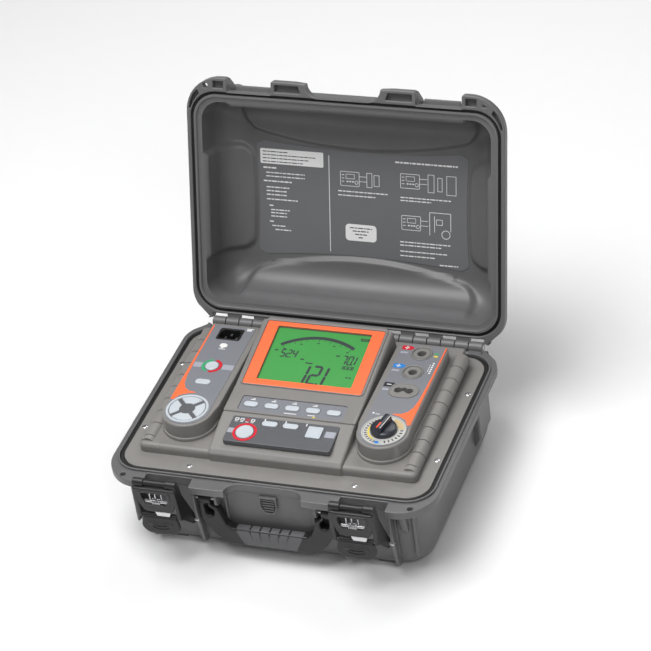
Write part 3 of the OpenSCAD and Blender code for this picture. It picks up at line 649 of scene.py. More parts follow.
def base_shell():
    padlock = [circle(3.0, s * PADLOCK_X, PADLOCK_Y, 24) for s in (-1, 1)]
    flange = plate([flange_outline(), seat(), *padlock], RIM - FLANGE, RIM, 1.3, 3)
    tongue = plate([seat(TONGUE_W), seat()], RIM - 3, RIM + TONGUE_H, 0.8, 3)
    ledge = plate([rect(380, 268, 31, 0, PLATE_Y, 10), rect(337, 223, 20, 0, PLATE_Y, 8)],
                  RIM - FLANGE + 1.5, RIM - 2.05, 0.4)
    parts = [base_tub(), tongue, ledge]
    # rib plates beside the latches, with a rounded front edge that draws in downwards
    rib = fillet([(-124, 93), (-142.5, 93), (-141.5, 66), (-133, 14), (-127, 10), (-119, 12)],
                 [0, 0, 14, 5, 4, 0])
    for x in (LATCH_X - 32, LATCH_X + 27.5):
        parts.append(both(along_x(rib, x, x + 4.5, 1.1)))
    lug = fillet([(-124, 93), (-141, 93), (-141, 77), (-136, 73), (-124, 73)], [0, 0, 3, 3, 0])
    parts.append(both(along_x(lug, 57.5, 61, 0.8)))
    gusset = fillet([(-126, 93), (-139, 93), (-133, 66), (-126, 57)], [0, 0, 6, 3])
    parts.append(both(along_x(gusset, 155, 163, 2.2, 3)))
    pillar = fillet([(166, 24), (181.5, 30), (187.5, 42), (188.5, 93), (166, 93)], [0, 10, 12, 0, 0])
    parts.append(both(along_y(pillar, 62, 104, 3.0, 3)))
    # shield-shaped rest for the folded handle, with a rim and cross ribs
    shield = fillet([(-10.5, 88), (-10.5, 74), (-6, 64), (6, 64), (10.5, 74), (10.5, 88)], [1, 3, 6, 6, 3,
        1])
    rim = fillet([(-8.6, 86), (-8.6, 74.5), (-5, 66), (5, 66), (8.6, 74.5), (8.6, 86)], [1, 3, 5, 5, 3, 1])
    parts.append(along_y([shield, rim], -131.6, -124, 0.7))
    for k in range(5):
        parts.append(along_y(rect(17.6 - k * 1.5, 1.5, 0.6, 0, 83.6 - k * 3.6), -131.0, -124, 0.4))
    for k in range(0, 7, 2):
        parts.append(knuckle(k, RIM - 5.5, RIM))
    # low ribs across the front wall, and feet under the base
    for x in (52, 148, 168):
        parts.append(both(along_y(rect(3.0, 60, 1.4, x, 55), -130.5 if x < 160 else -126, -118, 0.8)))
    for y in (-90, 100):
        foot = fillet([(-26, 0), (26, 0), (22, 6), (-22, 6)], 1.5)
        parts.append(both(moved(along_x(foot, -13, 13, 1.4), at(128, y, 0))))
    shell = union(flange, *parts)
    pin_holes = [rod(LATCH_X - 34, LATCH_X + 34, -138, 50, 2.0, 0.2, 24),
                 rod(56, LATCH_X - 27, HANDLE_Y, HANDLE_Z, 2.0, 0.2, 24)]
    shell = cut(shell, *[both(p) for p in pin_holes])
    looks("base_shell", shell, CASE)


def knuckle(k, web_low, web_high):
    """One hinge knuckle on each side, with the web that joins it to its flange."""
    x0 = KNUCKLE_X + KNUCKLE_PITCH * k
    eye = rod(x0 + 0.3, x0 + 16.7, HINGE.y, HINGE.z, 6.5, 0.9)
    web = along_x(fillet([(143, web_low), (151, web_low), (155.5, web_low + 1.5), (155, web_high), (143,
        web_high)],
                         [0, 2, 2, 0, 0]), x0 + 0.4, x0 + 16.6, 0.5)
    return both(merged(eye, web))


def panel_seal():
    ring = plate([seat(-0.05), rect(364.9, 254.9, 26, 0, PLATE_Y, 12)], RIM - 2, RIM - 0.7, 0.5, 2)
    looks("panel_seal", ring, SEAL)


# ---------------------------------------------------------------- control panel
def strip_outline(side, grow=0.0, back=108.0, front_r=30.5):
    """Plan of a side strip with its round front boss; side is -1 or 1."""
    x0, x1 = 84 - grow, 146 + grow
    r = front_r + grow
    cx = 117.0
    loop = [(x0, back + grow), (x0, BOSS_Y + 12)]
    loop += arc(cx, BOSS_Y, r, 180, 360, 24)
    loop += [(x1, BOSS_Y + 12), (x1, back + grow)]
    loop = fillet(loop, [9] + [0] * (len(loop) - 2) + [9], 6)
    return loop if side > 0 else mirrored(loop)


def deck_top(y):
    return RIM + 13 + (y + 95.5) * 7.0 / 224.0


def ridge():
    """Half-round shoulder in nine segments, turned round its own axis."""
    r, gap, depth = 9.3, 0.9, 1.4
    pitch, z = 21.6, 10.0
    profile = [(0, 3), (r, 3), (r, z - 1.0)]
    for k in range(9):
        profile += [(r - 0.25, z - 0.25), (r - depth, z), (r - depth, z + gap), (r - 0.25, z + gap + 0.25),
                    (r, z + gap + 1.0)]
        z += pitch
        if k < 8:
            profile.append((r, z - 1.0))
    for k in range(7):
        a = math.radians(90 * k / 6)
        profile.append((r * math.cos(a), z + 5 * math.sin(a)))
    profile[-1] = (0, z + 5)
    slope = math.degrees(math.atan(7.0 / 224.0))
    place = (at(156.5, -91.5, deck_top(-91.5) - 6.2)
             @ Matrix.Rotation(math.radians(slope - 90), 4, "X"))
    return lathe(profile, place, 40)


def centre_profile():
    """Side view of the centre section: front wedge, key field, display hump."""
    groove = RIM + 29.6
    return fillet(
        [(-97.5, 101), (-97.5, RIM + 12), (-92.5, RIM + 16.5), (GROOVE_Y, groove), (GROOVE_Y + 0.9,
        groove - 1.0),
         (GROOVE_Y + 1.6, KEYS_Z + 0.1), (HUMP_FRONT, HUMP_Z),
         (107, HUMP_Z + (107 - HUMP_FRONT) * math.tan(math.radians(DISPLAY_SLOPE))),
         (112, STRIP_Z - 8), (113, 101)],
        [0, 3.5, 6, 1.6, 0.2, 0.6, 2, 3, 4, 0], 5)


def front_panel():
    holes = [circle(1.9, s * x, y, 16) for s in (-1, 1) for y, x in SCREWS]
    base = plate([rect(365, 255, 26, 0, PLATE_Y, 12), *holes], RIM - 2, RIM + 1.5, 0.7, 3)
    deck = along_x(fillet([(-95.5, 101), (-95.5, RIM + 12.5), (128.5, RIM + 19.5), (128.5, 101)], [0, 8, 3,
        0], 7),
                   -157, 157, 2.0, 3)
    centre = along_x(centre_profile(), -80, 80, 3.2, 4)
    strips = [plate(strip_outline(s), 101, STRIP_Z, 2.2, 4) for s in (-1, 1)]
    skirts = [plate(strip_outline(s, 1.6, 109.0), 101, deck_top(BOSS_Y) + 3.0, 1.6, 3) for s in (-1, 1)]
    shoulders = both(ridge())
    block = fillet([(140, -95.5), (166, -95.5), (166, -79), (140, -79)], [0, 10, 2, 0], 8)
    corners = both(plate(block, 100.6, deck_top(-88) + 0.2, 5.0, 5))
    frame_rim = plate([rect(151, 107, 6, 0, 52.6), rect(144.4, 100.4, 3, 0, 51)], -2.0, 1.5, 1.2, 3,
        DISPLAY)
    body = union(base, deck, centre, *strips, *skirts, shoulders, corners, frame_rim)
    tools = [
        plate(rect(144.3, 100.3, 3, 0, 51), -1.9, 8, 0, place=DISPLAY),
        plate(rect(115, 84.6, 1.5, 0, 52.3), -7, 8, 0, place=DISPLAY),
        plate(rect(127, 24.5, 3.5, 0, 12.25), -1.6, 6, 0, place=on_slope(-38.5, field_z(-38.5), KEY_SLOPE)),
        plate(rect(30.2, 22.2, 3, -STRIP_X, INLET_Y), STRIP_Z - 24, STRIP_Z + 5, 0),
    ]
    tools.append(plate(circle(8.3, -STRIP_X, 28), STRIP_Z - 9, STRIP_Z + 5, 0))
    for y in SOCKET_YS:
        tools.append(plate(circle(12.85, STRIP_X, y), STRIP_Z - 20, STRIP_Z + 5, 0))
    tools.append(plate(rect(35.7, 25.7, 12.8, STRIP_X, GUARD_Y, 12), STRIP_Z - 20, STRIP_Z + 5, 0))
    body = cut(body, *tools)
    looks("front_panel", body, PANEL, sharp=38)


def panel_screws():
    parts = []
    for s in (-1, 1):
        for i, (y, x) in enumerate(SCREWS):
            z = RIM + 1.5
            head = lathe([(0, z - 0.9), (2.6, z - 0.9), (3.2, z - 0.3), (3.2, z + 0.1), (2.5, z + 0.5),
                (1.2, z + 0.65),
                          (0, z + 0.65)], None, 28)
            turn = 20 + 37 * i
            slot_a = plate(rect(4.2, 0.8, 0.1), z + 0.05, z + 2, 0, place=at(0, 0, 0, turn))
            slot_b = plate(rect(4.2, 0.8, 0.1), z + 0.05, z + 2, 0, place=at(0, 0, 0, turn + 90))
            head = cut(head, slot_a, slot_b)
            stem = lathe([(0, z - 12), (1.5, z - 11.5), (1.5, z - 0.9), (0, z - 0.9)], None, 20)
            parts.append(moved(merged(head, stem), at(s * x, y, 0)))
    looks("panel_screws", merged(*parts), STEEL)


def display():
    bezel = plate([rect(144, 99.9, 2.6, 0, 51), rect(115, 84.6, 1.2, 0, 52.3)], -1.4, 0.8, 0.6, 2, DISPLAY)
    looks("display_bezel", bezel, ORANGE)
    top = -2.95
    marks = []

    def bar(u0, v0, u1, v1, wide):
        """A straight segment between two points of the display."""
        a, b = Vector((u0, v0)), Vector((u1, v1))
        d = (b - a).normalized()
        n = Vector((-d.y, d.x)) * wide / 2
        tip = d * wide * 0.45
        loop = [a, a + tip + n, b - tip + n, b, b - tip - n, a + tip - n]
        marks.append(plate([tuple(p) for p in loop], top, top + 0.2, 0, place=DISPLAY))

    def spot(w, h, u, v):
        marks.append(plate(rect(w, h, 0.15, u, v), top, top + 0.2, 0, place=DISPLAY))

    def frame_box(w, h, u, v):
        marks.append(plate([rect(w, h, 0.5, u, v), rect(w - 1.4, h - 1.4, 0.3, u, v)], top, top + 0.2, 0,
            place=DISPLAY))

    shape = {"a": ((0, 1), (1, 1)), "b": ((1, 1), (1, .5)), "c": ((1, .5), (1, 0)), "d": ((0, 0), (1, 0)),
             "e": ((0, .5), (0, 0)), "f": ((0, 1), (0, .5)), "g": ((0, .5), (1, .5))}
    lit = {"0": "abcdef", "1": "bc", "2": "abged", "4": "fgbc", "5": "afgcd", "7": "abc", "8": "abcdefg"}

    def digits(text, u, v, w, h, wide, gap, lean=0.0):
        for ch in text:
            if ch == ".":
                marks.append(plate(rect(wide, wide, 0.1, u - gap * 0.5, v), top, top + 0.2, 0,
                    place=DISPLAY))
                continue
            cell = wide if ch == "1" else w
            for s in lit[ch]:
                (a, b), (c, d) = shape[s]
                bar(u + a * cell + lean * b, v + b * h, u + c * cell + lean * d, v + d * h, wide)
            u += cell + gap

    # scale arc with its graduations
    big, thick, mid = 80.5, 4.4, (-0.1, 5.7)
    curve = arc(*mid, big, 126.8, 57.9, 40) + arc(*mid, big - thick, 57.9, 126.8, 40)
    marks.append(plate(curve, top, top + 0.2, 0, place=DISPLAY))
    for k in range(13):
        a = math.radians(125.5 - 5.5 * k)
        out = Vector((math.cos(a), math.sin(a)))
        tip = Vector(mid) + out * (big - thick - 1.0)
        bar(*tip, *(tip - out * (1.4 if k % 2 else 2.6)), 0.8)
        if k % 3 == 0:
            spot(3.4, 1.1, *(tip - out * 5.0))
    digits("52.4", -43, 50.4, 4.6, 11.0, 1.6, 2.4, 1.4)
    digits("70.1", 32, 48, 4.8, 12.6, 1.7, 2.6, 1.4)
    digits("12.1", -7, 13, 9.8, 27.0, 3.2, 5.0, 2.6)
    for u, v, w in ((-49.5, 59.5, 4.4), (-14.5, 49, 5), (-4.6, 44, 9), (46, 28, 2.6), (50, 28, 2.8), (26,
            59.5, 4.6)):
        spot(w, 1.7, u, v)
    frame_box(14, 5, 43, 42.5)
    for u in (38.6, 43, 47.4):
        spot(2.6, 2.2, u, 42.5)
    frame_box(11, 4.4, 50.5, 88)
    for u in (47.2, 50.5, 53.8):
        spot(2.2, 1.8, u, 88)
    obj = piece("lcd_segments", merged(*marks), SEGMENT, slot="lcd_green", soften=False)
    return obj


def overlay_shape(side):
    """Printed film on a side strip, a little inside the strip's edge."""
    loop = [(91, 104), (91, BOSS_Y + 8)]
    loop += arc(117, BOSS_Y, 27.2, 190, 350, 20)
    loop += [(143.5, BOSS_Y + 12), (143.5, 104)]
    loop = fillet(loop, [3] + [0] * (len(loop) - 2) + [3], 4)
    return loop if side > 0 else mirrored(loop)


def stripe_shape(side):
    """Orange flash along the outer edge, widening towards the round boss."""
    outer = [(144.2, 103.5), (144.2, -38)]
    inner = [(136.5, -30), (127.5, -24.8), (119, -22.6), (119, -21.6), (128, -20.5), (134.5, -15.5),
             (138.6, -7), (140.6, 6), (141.9, 40), (142.6, 103.5)]
    loop = outer + [(140.5, -38.5)] + inner
    return loop if side > 0 else mirrored(loop)


def quadrant(turn, grow):
    """One key of the direction pad as an outline about the pad's middle."""
    a0 = 6.5 - grow * 1.2
    pts = arc(0, 0, 21.0 + grow, -45 + a0, 45 - a0, 14) + arc(0, 0, 9.2 - grow, 45 - a0 * 2.3,
        -45 + a0 * 2.3, 6)
    t = math.radians(turn)
    return [(x * math.cos(t) - y * math.sin(t), x * math.sin(t) + y * math.cos(t)) for x, y in pts]


def shifted(loop, dx, dy):
    return [(x + dx, y + dy) for x, y in loop]


def overlays():
    top = STRIP_Z + 0.5
    left_holes = [rect(30.2, 22.2, 3, -STRIP_X, INLET_Y), rect(8.4, 8.4, 4.1, -STRIP_X, 67), circle(8.5,
        -STRIP_X, 28),
                  rect(20, 10, 4.9, -STRIP_X, -1.7), circle(25.2, -STRIP_X, BOSS_Y)]
    left = plate([overlay_shape(-1), *left_holes], STRIP_Z - 0.1, top, 0.12, 1)
    looks("left_overlay", left, OVERLAY)
    right_holes = [circle(12.9, STRIP_X, 90), circle(12.9, STRIP_X, 55), rect(35.8, 25.8, 12.8, STRIP_X,
        20.5, 12),
                   circle(25.7, STRIP_X, BOSS_Y)]
    right = plate([overlay_shape(1), *right_holes], STRIP_Z - 0.1, top, 0.12, 1)
    looks("right_overlay", right, OVERLAY)
    field = on_slope(-38.5, field_z(-38.5), KEY_SLOPE)
    keys = plate([rect(126.8, 24.3, 3.4, 0, 12.25), *[rect(18, 9, 4.4, x, 11.5) for x in KEY_XS]],
                 -1.7, -1.1, 0.1, 1, field)
    looks("key_overlay", keys, OVERLAY)


def prints():
    """Flat printed marks, one piece for each ink."""
    inks = ((WHITE, "key_pale"), (PALE, "label_grey"), (RED, "socket_grey"), (BLUE, "switch_blue"),
            (GREEN, "circuit_green"), (YELLOW, "brass"), (INK, "moulded_black"), (ORANGE, "bezel_orange"))
    ink = {mat.name: [] for mat, _ in inks}
    z = STRIP_Z + 0.5
    t = 0.14

    def mark(mat, loops, place=None, z0=z, thick=t):
        ink[mat.name].append(plate(loops, z0 - 0.02, z0 + thick, 0, place=place))

    # orange flashes beside both strips
    for s in (-1, 1):
        ink[ORANGE.name].append(plate(stripe_shape(s), z - 0.02, z + 0.12, 0))
    # left strip
    mark(PALE, rect(10, 9, 0.5, -135.5, 28))
    mark(PALE, rect(14, 9, 0.5, -98, 28))
    mark(WHITE, rect(8, 0.9, 0.2, -118, 60.5))
    mark(WHITE, rect(3.2, 2.6, 1.2, -118.5, 63.0))
    mark(WHITE, rect(9, 1.2, 0.2, -97, 102))
    mark(WHITE, rect(6, 2.6, 0.4, -97.5, 99.3))
    for a0, a1, mat in ((100, 245, GREEN), (-95, 80, RED)):
        ring = arc(-STRIP_X, 28, 12.2, a0, a1, 24) + arc(-STRIP_X, 28, 8.9, a1, a0, 24)
        mark(mat, ring, None, z + 0.1)
    # right strip: a flag beside each socket, with its marks
    for y, mat in ((98, RED), (64, BLUE), (29, INK)):
        mark(mat, fillet([(92, y - 3.8), (103, y - 3.8), (107, y), (103, y + 3.8), (92, y + 3.8)], [1, 0.5,
            0.5, 0.5, 1]))
        mark(WHITE, rect(5.4, 1.3, 0.2, 98, y), None, z + 0.12)
        if mat is not INK:
            mark(WHITE, rect(1.3, 5.2, 0.2, 98, y), None, z + 0.12)
    for y in (89, 55.5, 20):
        mark(PALE, rect(9, 3.4, 0.5, 97, y))
    mark(GREEN, rect(5, 2.6, 0.5, 135.5, 91.5))
    mark(YELLOW, rect(4.6, 2.8, 0.4, 135.6, 87.0))
    for k in range(6):
        mark(WHITE, rect(2.0, 2.2, 0.4, 137.2, 74 - 3.6 * k))
        if k < 4:
            mark(WHITE, rect(0.9, 1.8, 0.2, 134.2, 70 - 3.4 * k))
    # white mark at the selector's upper left
    mark(WHITE, circle(1.3, 96.5, -23.5, 16))
    mark(WHITE, rect(5.2, 0.9, 0.2, 101.5, -24.6))
    # function keys: small marks above and below, and the white links to the lower keys
    field = on_slope(-38.5, field_z(-38.5), KEY_SLOPE)
    for k, x in enumerate(KEY_XS):
        if k != 4:
            mark(WHITE, rect(5.5, 1.1, 0.2, x, 19.6), field, -1.1)
            mark(WHITE, rect(3.0, 0.8, 0.2, x + 1, 21.4), field, -1.1)
    mark(WHITE, rect(15, 1.0, 0.2, 0, 3.6), field, -1.1)
    mark(WHITE, rect(9, 1.0, 0.2, 25, 4.2), field, -1.1)
    mark(YELLOW, rect(3.0, 1.6, 0.3, 29, 1.9), field, -1.1)
    for x in (-25, 0, 25):
        mark(PALE, rect(3.6, 4.0, 0.4, x, 4.4), field, -1.62, 0.1)
    # pod: marks over the start key, band behind the square key
    pod = on_slope(POD_Y, pod_top(POD_Y), KEY_SLOPE)
    mark(PALE, rect(12, 9.5, 0.4, 56.5, 26.5), pod, 0)
    mark(PALE, rect(9, 7.5, 0.4, -58.5, 17), pod, 0)
    for k in range(4):
        mark((WHITE, WHITE, RED, WHITE)[k], [rect(4.6, 3.8, 0.8, -58 + 6.4 * k, 35.6), rect(2.8, 2.0, 0.4,
            -58 + 6.4 * k, 35.6)],
             pod, 0)
    for k in range(4):
        mark(WHITE, rect(3.8, 0.8, 0.2, -58 + 6.4 * k, 32.0), pod, 0)
    ring = [circle(14.2, -42.3, 16.1), circle(11.1, -42.3, 16.1)]
    mark(RED, ring, pod, 0.05, 0.3)
    for k in range(3):
        mark(WHITE, rect(1.2, 4.2, 0.2, -25 + 25 * k, 38.0), pod, 0)
    for mat, slot in inks:
        piece("marks_" + mat.name, merged(*ink[mat.name]), mat, slot=slot, soften=False)


def control_pod():
    pod = on_slope(POD_Y, pod_top(POD_Y), KEY_SLOPE)
    holes = [rect(20, 9, 4.4, x, 32.6) for x in (-17.6, 7.4)]
    holes.append(rect(19, 19, 1.2, 37.5, 27.1))
    holes.append(circle(11, -42.3, 16.1))
    block = plate([rect(POD_W, POD_D, 2.2, 0, POD_D / 2), *holes], -5.6, 0, 0.5, 2, pod)
    looks("control_pod", block, POD)


# ---------------------------------------------------------------- keys
def key_cap(name, loop, place, low, high, edge=1.0, body=None, extra=(), mat=KEY):
    cap = plate(loop, low, high, edge, 3, place)
    looks(name, merged(cap, *extra), mat, body or name, slot="key_pale")


def keys():
    for k, x in enumerate(KEY_XS):
        place = on_slope(-27, field_z(-27), KEY_SLOPE)
        key_cap("key_f%d" % (k + 1), rect(17, 8, 3.9, x, 0, 6), place, -5, 0.6, 1.1)
    for k, x in enumerate((-17.6, 7.4)):
        place = on_slope(-54.5, pod_top(-54.5), KEY_SLOPE)
        key_cap("key_small_%d" % (k + 1), rect(19, 8, 3.9, x, 0, 6), place, -5, 1.4, 1.2)
    place = on_slope(-60, pod_top(-60), KEY_SLOPE)
    rim = plate([rect(13.4, 13.4, 1.0, 37.5, 0), rect(11.6, 11.6, 0.6, 37.5, 0)], 1.35, 1.6, 0.1, 1, place)
    key_cap("key_square", rect(18, 18, 1.4, 37.5, 0), place, -5, 1.4, 0.9, extra=[rim])
    place = on_slope(-71, pod_top(-71), KEY_SLOPE) @ at(-42.3, 0, 0)
    cap = lathe([(0, -4), (10.4, -4), (10.4, 0.8), (9.8, 1.4), (8.6, 1.6), (7.8, 1.35), (4, 1.1), (0, 1.0)],
        place, 48)
    looks("key_start", cap, KEY, "key_start")
    place = at(-STRIP_X, 28, STRIP_Z)
    cap = lathe([(0, -5), (7.9, -5), (7.9, 1.0), (7.2, 1.7), (6.2, 1.9), (5.4, 1.6), (2.5, 1.4), (0, 1.35)],
        place, 40)
    looks("key_power", cap, KEY, "key_power")
    key_cap("key_light", rect(19, 9, 4.4, -STRIP_X, -1.7, 6), at(0, 0, STRIP_Z), -4.5, 1.5, 1.2)
    for name, turn in (("key_next", 0), ("key_up", 90), ("key_back", 180), ("key_down", 270)):
        loop = fillet(shifted(quadrant(turn, 0), -STRIP_X, BOSS_Y), 0.8, 2)
        key_cap(name, loop, None, STRIP_Z - 4, STRIP_Z + 1.4, 1.1)
    # raised ring and dark cross of the direction pad
    ring = lathe([(21.6, STRIP_Z - 1), (25.0, STRIP_Z - 1), (25.0, STRIP_Z + 0.7), (24.3, STRIP_Z + 1.5),
                  (23.2, STRIP_Z + 1.7), (22.2, STRIP_Z + 1.3), (21.6, STRIP_Z + 0.4), (21.6, STRIP_Z - 1)],
                 at(-STRIP_X, BOSS_Y, 0), 64)
    piece("pad_ring", ring, KEY)
    floor = plate(circle(21.8, -STRIP_X, BOSS_Y), STRIP_Z - 0.5, STRIP_Z + 0.35, 0.1, 1)
    piece("pad_floor", floor, POD)


# ---------------------------------------------------------------- sockets, inlet, lamp
def sockets():
    z = STRIP_Z
    for name, y in zip(("socket_red", "socket_blue"), SOCKET_YS):
        ring = lathe([(5.0, z - 16), (5.0, z + 0.2), (5.7, z + 0.9), (9.7, z + 0.9), (10.0, z - 0.2), (10.8,
            z - 0.2),
                      (11.0, z + 1.1), (11.8, z + 1.6), (12.6, z + 1.2), (12.8, z + 0.4), (12.8, z - 19),
                      (0, z - 19),
                      (0, z - 16), (5.0, z - 16)], at(STRIP_X, y, 0), 48)
        looks(name, ring, SOCKET)
        # black plug low in each socket bore: painted shade
        dark_painted_shade(name + "_painted_shade", [circle(4.98, STRIP_X, y, 32)])
    outer = rect(35.6, 25.6, 12.7, STRIP_X, 20.5, 12)
    slot = []
    circles = ((-6.5, 0.0, 4.6), (6.5, 0.0, 4.6), (0.0, 2.4, 3.2))
    for k in range(72):
        a = 2 * math.pi * k / 72
        u = Vector((math.cos(a), math.sin(a)))
        best = 0.8
        for cx, cy, r in circles:
            d = Vector((cx, cy))
            reach = r * r - d.length_squared + d.dot(u) ** 2
            if reach >= 0:
                best = max(best, d.dot(u) + math.sqrt(reach))
        slot.append((STRIP_X + u.x * best, 20.5 + u.y * best))
    low = plate([outer, slot], z - 19, z + 0.9, 0.3, 2)
    lip = plate([outer, rect(32.2, 22.2, 11.0, STRIP_X, 20.5, 12)], z - 3, z + 1.6, 0.7, 3)
    looks("socket_guard", union(low, lip), SOCKET)
    # black plug low in the guard's slot: painted shade
    dark_painted_shade("socket_guard_painted_shade", [slot])


def dark_painted_shade(name, loops):
    """Black plug in the lower part of a socket bore: painted shade standing in for the dark deep in the
    bore.
    """
    piece(name, plate(loops, STRIP_Z - 17.5, STRIP_Z - 9, 0.1, 1), BLACK)


def mains_inlet():
    z = STRIP_Z
    outer = rect(30, 22, 3, -STRIP_X, 89)
    inner = shifted(fillet([(-12.3, -8.3), (12.3, -8.3), (12.3, 4.3), (8.3, 8.3), (-8.3, 8.3), (-12.3,
        4.3)], 1.2, 3),
                    -STRIP_X, 89)
    body = plate([outer, inner], z - 18, z + 0.8, 0.5, 2)
    floor = plate(rect(29.9, 21.9, 2.9, -STRIP_X, 89), z - 22, z - 17.9, 0.3, 1)
    core = plate([shifted(fillet([(-9.6, -5.6), (9.6, -5.6), (9.6, 3.4), (6.6, 6.0), (-6.6, 6.0), (-9.6,
        3.4)], 1, 3),
                          -STRIP_X, 89)], z - 18.2, z - 17.4, 0.2, 1)
    looks("mains_inlet", merged(union(body, floor), core), BLACK)


def charge_lamp():
    z = STRIP_Z
    dome = lathe([(0, z - 3), (4.0, z - 3), (4.0, z + 0.9), (3.5, z + 1.6), (2.0, z + 2.1), (0, z + 2.2)],
                 at(-STRIP_X, 67, 0) @ Matrix.Diagonal((1.25, 0.95, 1, 1)), 32)
    looks("charge_lamp", dome, LAMP)


# ---------------------------------------------------------------- selector
def sector(r0, r1, a0, a1, n=24):
    return arc(0, 0, r1, a0, a1, n) + arc(0, 0, r0, a1, a0, n)


def dial():
    place = at(STRIP_X, BOSS_Y, 0)
    z = STRIP_Z
    ring = lathe([(4.9, z), (25.5, z), (25.5, z + 1.3), (25.0, z + 1.7), (24.2, z + 1.7), (23.8, z + 1.2),
        (23.6, z + 0.8),
                  (4.9, z + 0.8), (4.9, z)], place, 72)
    looks("dial_plate", ring, DIAL)
    top = z + 0.8
    bands = {"yellow": (YELLOW, [(16.6, 18.4, 95, 245)]), "tan": (TAN, [(16.4, 22.8, 15, 72)])}
    for name, (mat, parts) in bands.items():
        made = [plate(sector(*p), top - 0.02, top + 0.12, 0, place=place) for p in parts]
        piece("dial_band_" + name, merged(*made), mat, slot="dial_ring", soften=False)
    ticks = []
    for k in range(15):
        a = 100 + 11.0 * k
        ticks.append(plate(rect(2.6, 1.5, 0.2), top, top + 0.14, 0,
                           place=place @ Matrix.Rotation(math.radians(a), 4, "Z") @ at(20.9, 0, 0)))
        ticks.append(plate(rect(1.3, 0.5, 0.1), top, top + 0.14, 0,
                           place=place @ Matrix.Rotation(math.radians(a), 4, "Z") @ at(18.8, 0, 0)))
    for k in range(7):
        a = 8 - 13 * k
        ticks.append(plate(rect(3.4, 1.6, 0.2), top, top + 0.14, 0,
                           place=place @ Matrix.Rotation(math.radians(a), 4, "Z") @ at(20.4, 0, 0)))
    piece("dial_numbers", merged(*ticks), INK, slot="moulded_black", soften=False)
    marker = [plate(rect(4.4, 4.4, 0.8), top, top + 0.5, 0.1, 1, place @ at(-2.0, -21.6, 0)),
              plate(rect(4.8, 2.6, 0.4), top, top + 0.3, 0.1, 1, place @ at(2.4, -24.0, 0))]
    piece("dial_marker", merged(*marker), BLUE, slot="switch_blue", soften=False)


def knob():
    z = STRIP_Z + 1.2
    place = at(STRIP_X, BOSS_Y, z, -12)
    skirt = lathe([(3.02, 0), (15.2, 0), (15.2, 3.2), (14.6, 5.0), (13.2, 6.0), (9, 6.5), (3.02, 6.6),
        (3.02, 0)], place, 64)
    bar_loop = []
    for sy in (1, -1):
        for k in range(9):
            a = math.radians(20 + 140 * k / 8)
            bar_loop.append((sy * 4.6 * math.cos(a), sy * 14.6 * (math.sin(a) * 0.18 + 0.80)))
    bar = loft([[place @ Vector((x * s, y * (1 - (1 - s) * 0.3), h)) for x, y in bar_loop]
                for s, h in ((1.12, 4.5), (1.0, 8.0), (0.94, 11.2), (0.84, 12.9), (0.66, 13.7), (0.3,
                13.9))], True)
    body = union(skirt, bar)
    looks("selector_knob", body, KNOB, "selector")
    line = plate(rect(1.9, 10.5, 0.7, 0, -8.2), 13.6, 14.05, 0.15, 1, place)
    piece("knob_pointer", line, moulded("pointer_red", (0.85, 0.09, 0.03), 0.4, bump=0.0), "selector",
        slot="bezel_orange")
    # painted highlight: a thin white strip along one upper edge of the knob's bar
    side = plate(rect(0.7, 24, 0.3, 3.5, 0), 12.6, 13.25, 0.1, 1, place)
    piece("knob_painted_highlight", side, WHITE, "selector", slot="key_pale")


# ---------------------------------------------------------------- lid
INNER_W, INNER_D, INNER_R = 355.0, 245.0, 23.0
CEILING = 165.0


def smooth(a, b, x):
    t = min(max((x - a) / (b - a), 0.0), 1.0)
    return t * t * (3 - 2 * t)


def bowl_ring(w, d, r0, cy, inset):
    """Evenly spaced points of a rounded outline drawn in by inset, with their outward directions."""
    hw, hd = w / 2 - inset, d / 2 - inset
    r = min(max(r0 - inset * (0.45 if inset > 0 else 0.62), 4.0), hw - 0.5, hd - 0.5)
    corners = [(hw - r, r - hd, -90, 70), (hw - r, hd - r, 0, 104), (r - hw, hd - r, 90, 70), (r - hw,
        r - hd, 180, 104)]
    out = []
    for i, (cx, cz, a, n) in enumerate(corners):
        for k in range(13):
            t = math.radians(a + 7.5 * k)
            out.append((cx + r * math.cos(t), cz + r * math.sin(t) + cy, math.cos(t), math.sin(t)))
        bx, by, b, _ = corners[(i + 1) % 4]
        x0, y0, nx, ny = out[-1]
        t = math.radians(b)
        x1, y1 = bx + r * math.cos(t), by + r * math.sin(t) + cy
        out += [(x0 + (x1 - x0) * k / n, y0 + (y1 - y0) * k / n, nx, ny) for k in range(1, n)]
    return out


def raised(x, y):
    """How far a point of the bowl lies inside one of the four raised wall panels, from 0 to 1."""
    v = y - 14
    areas = ((abs(x) - 130.5 - 4.5 * (v / 72) ** 2, abs(v), 68.0, 20.0),
             (y - 78 - 20 * (x / 130) ** 2, abs(x), 146.0, 22.0),
             (-50.5 - 16 * (x / 130) ** 2 - y, abs(x), 149.0, 22.0))
    best = 0.0
    for depth, along, half, r in areas:
        u, w = r - depth, along - (half - r)
        far = math.hypot(u, w) - r if u > 0 and w > 0 else max(-depth, along - half)
        best = max(best, 1 - smooth(-7.0, 0, far))
    return best


def skin(outline, inset, z, lean, step, fade):
    """One ring of the bowl, pushed towards the inside where the wall panels are."""
    ring = []
    c, q = math.cos(math.radians(lean)), math.sin(math.radians(lean))
    for x, y, nx, ny in bowl_ring(*outline, inset):
        start = fade + 17 if y > 100 else fade  # the panel's deck stands close to the rear wall
        k = step * raised(x, y) * smooth(start, start + 4, z)
        ring.append(Vector((x - nx * k * c, y - ny * k * c, z - k * q)))
    return ring


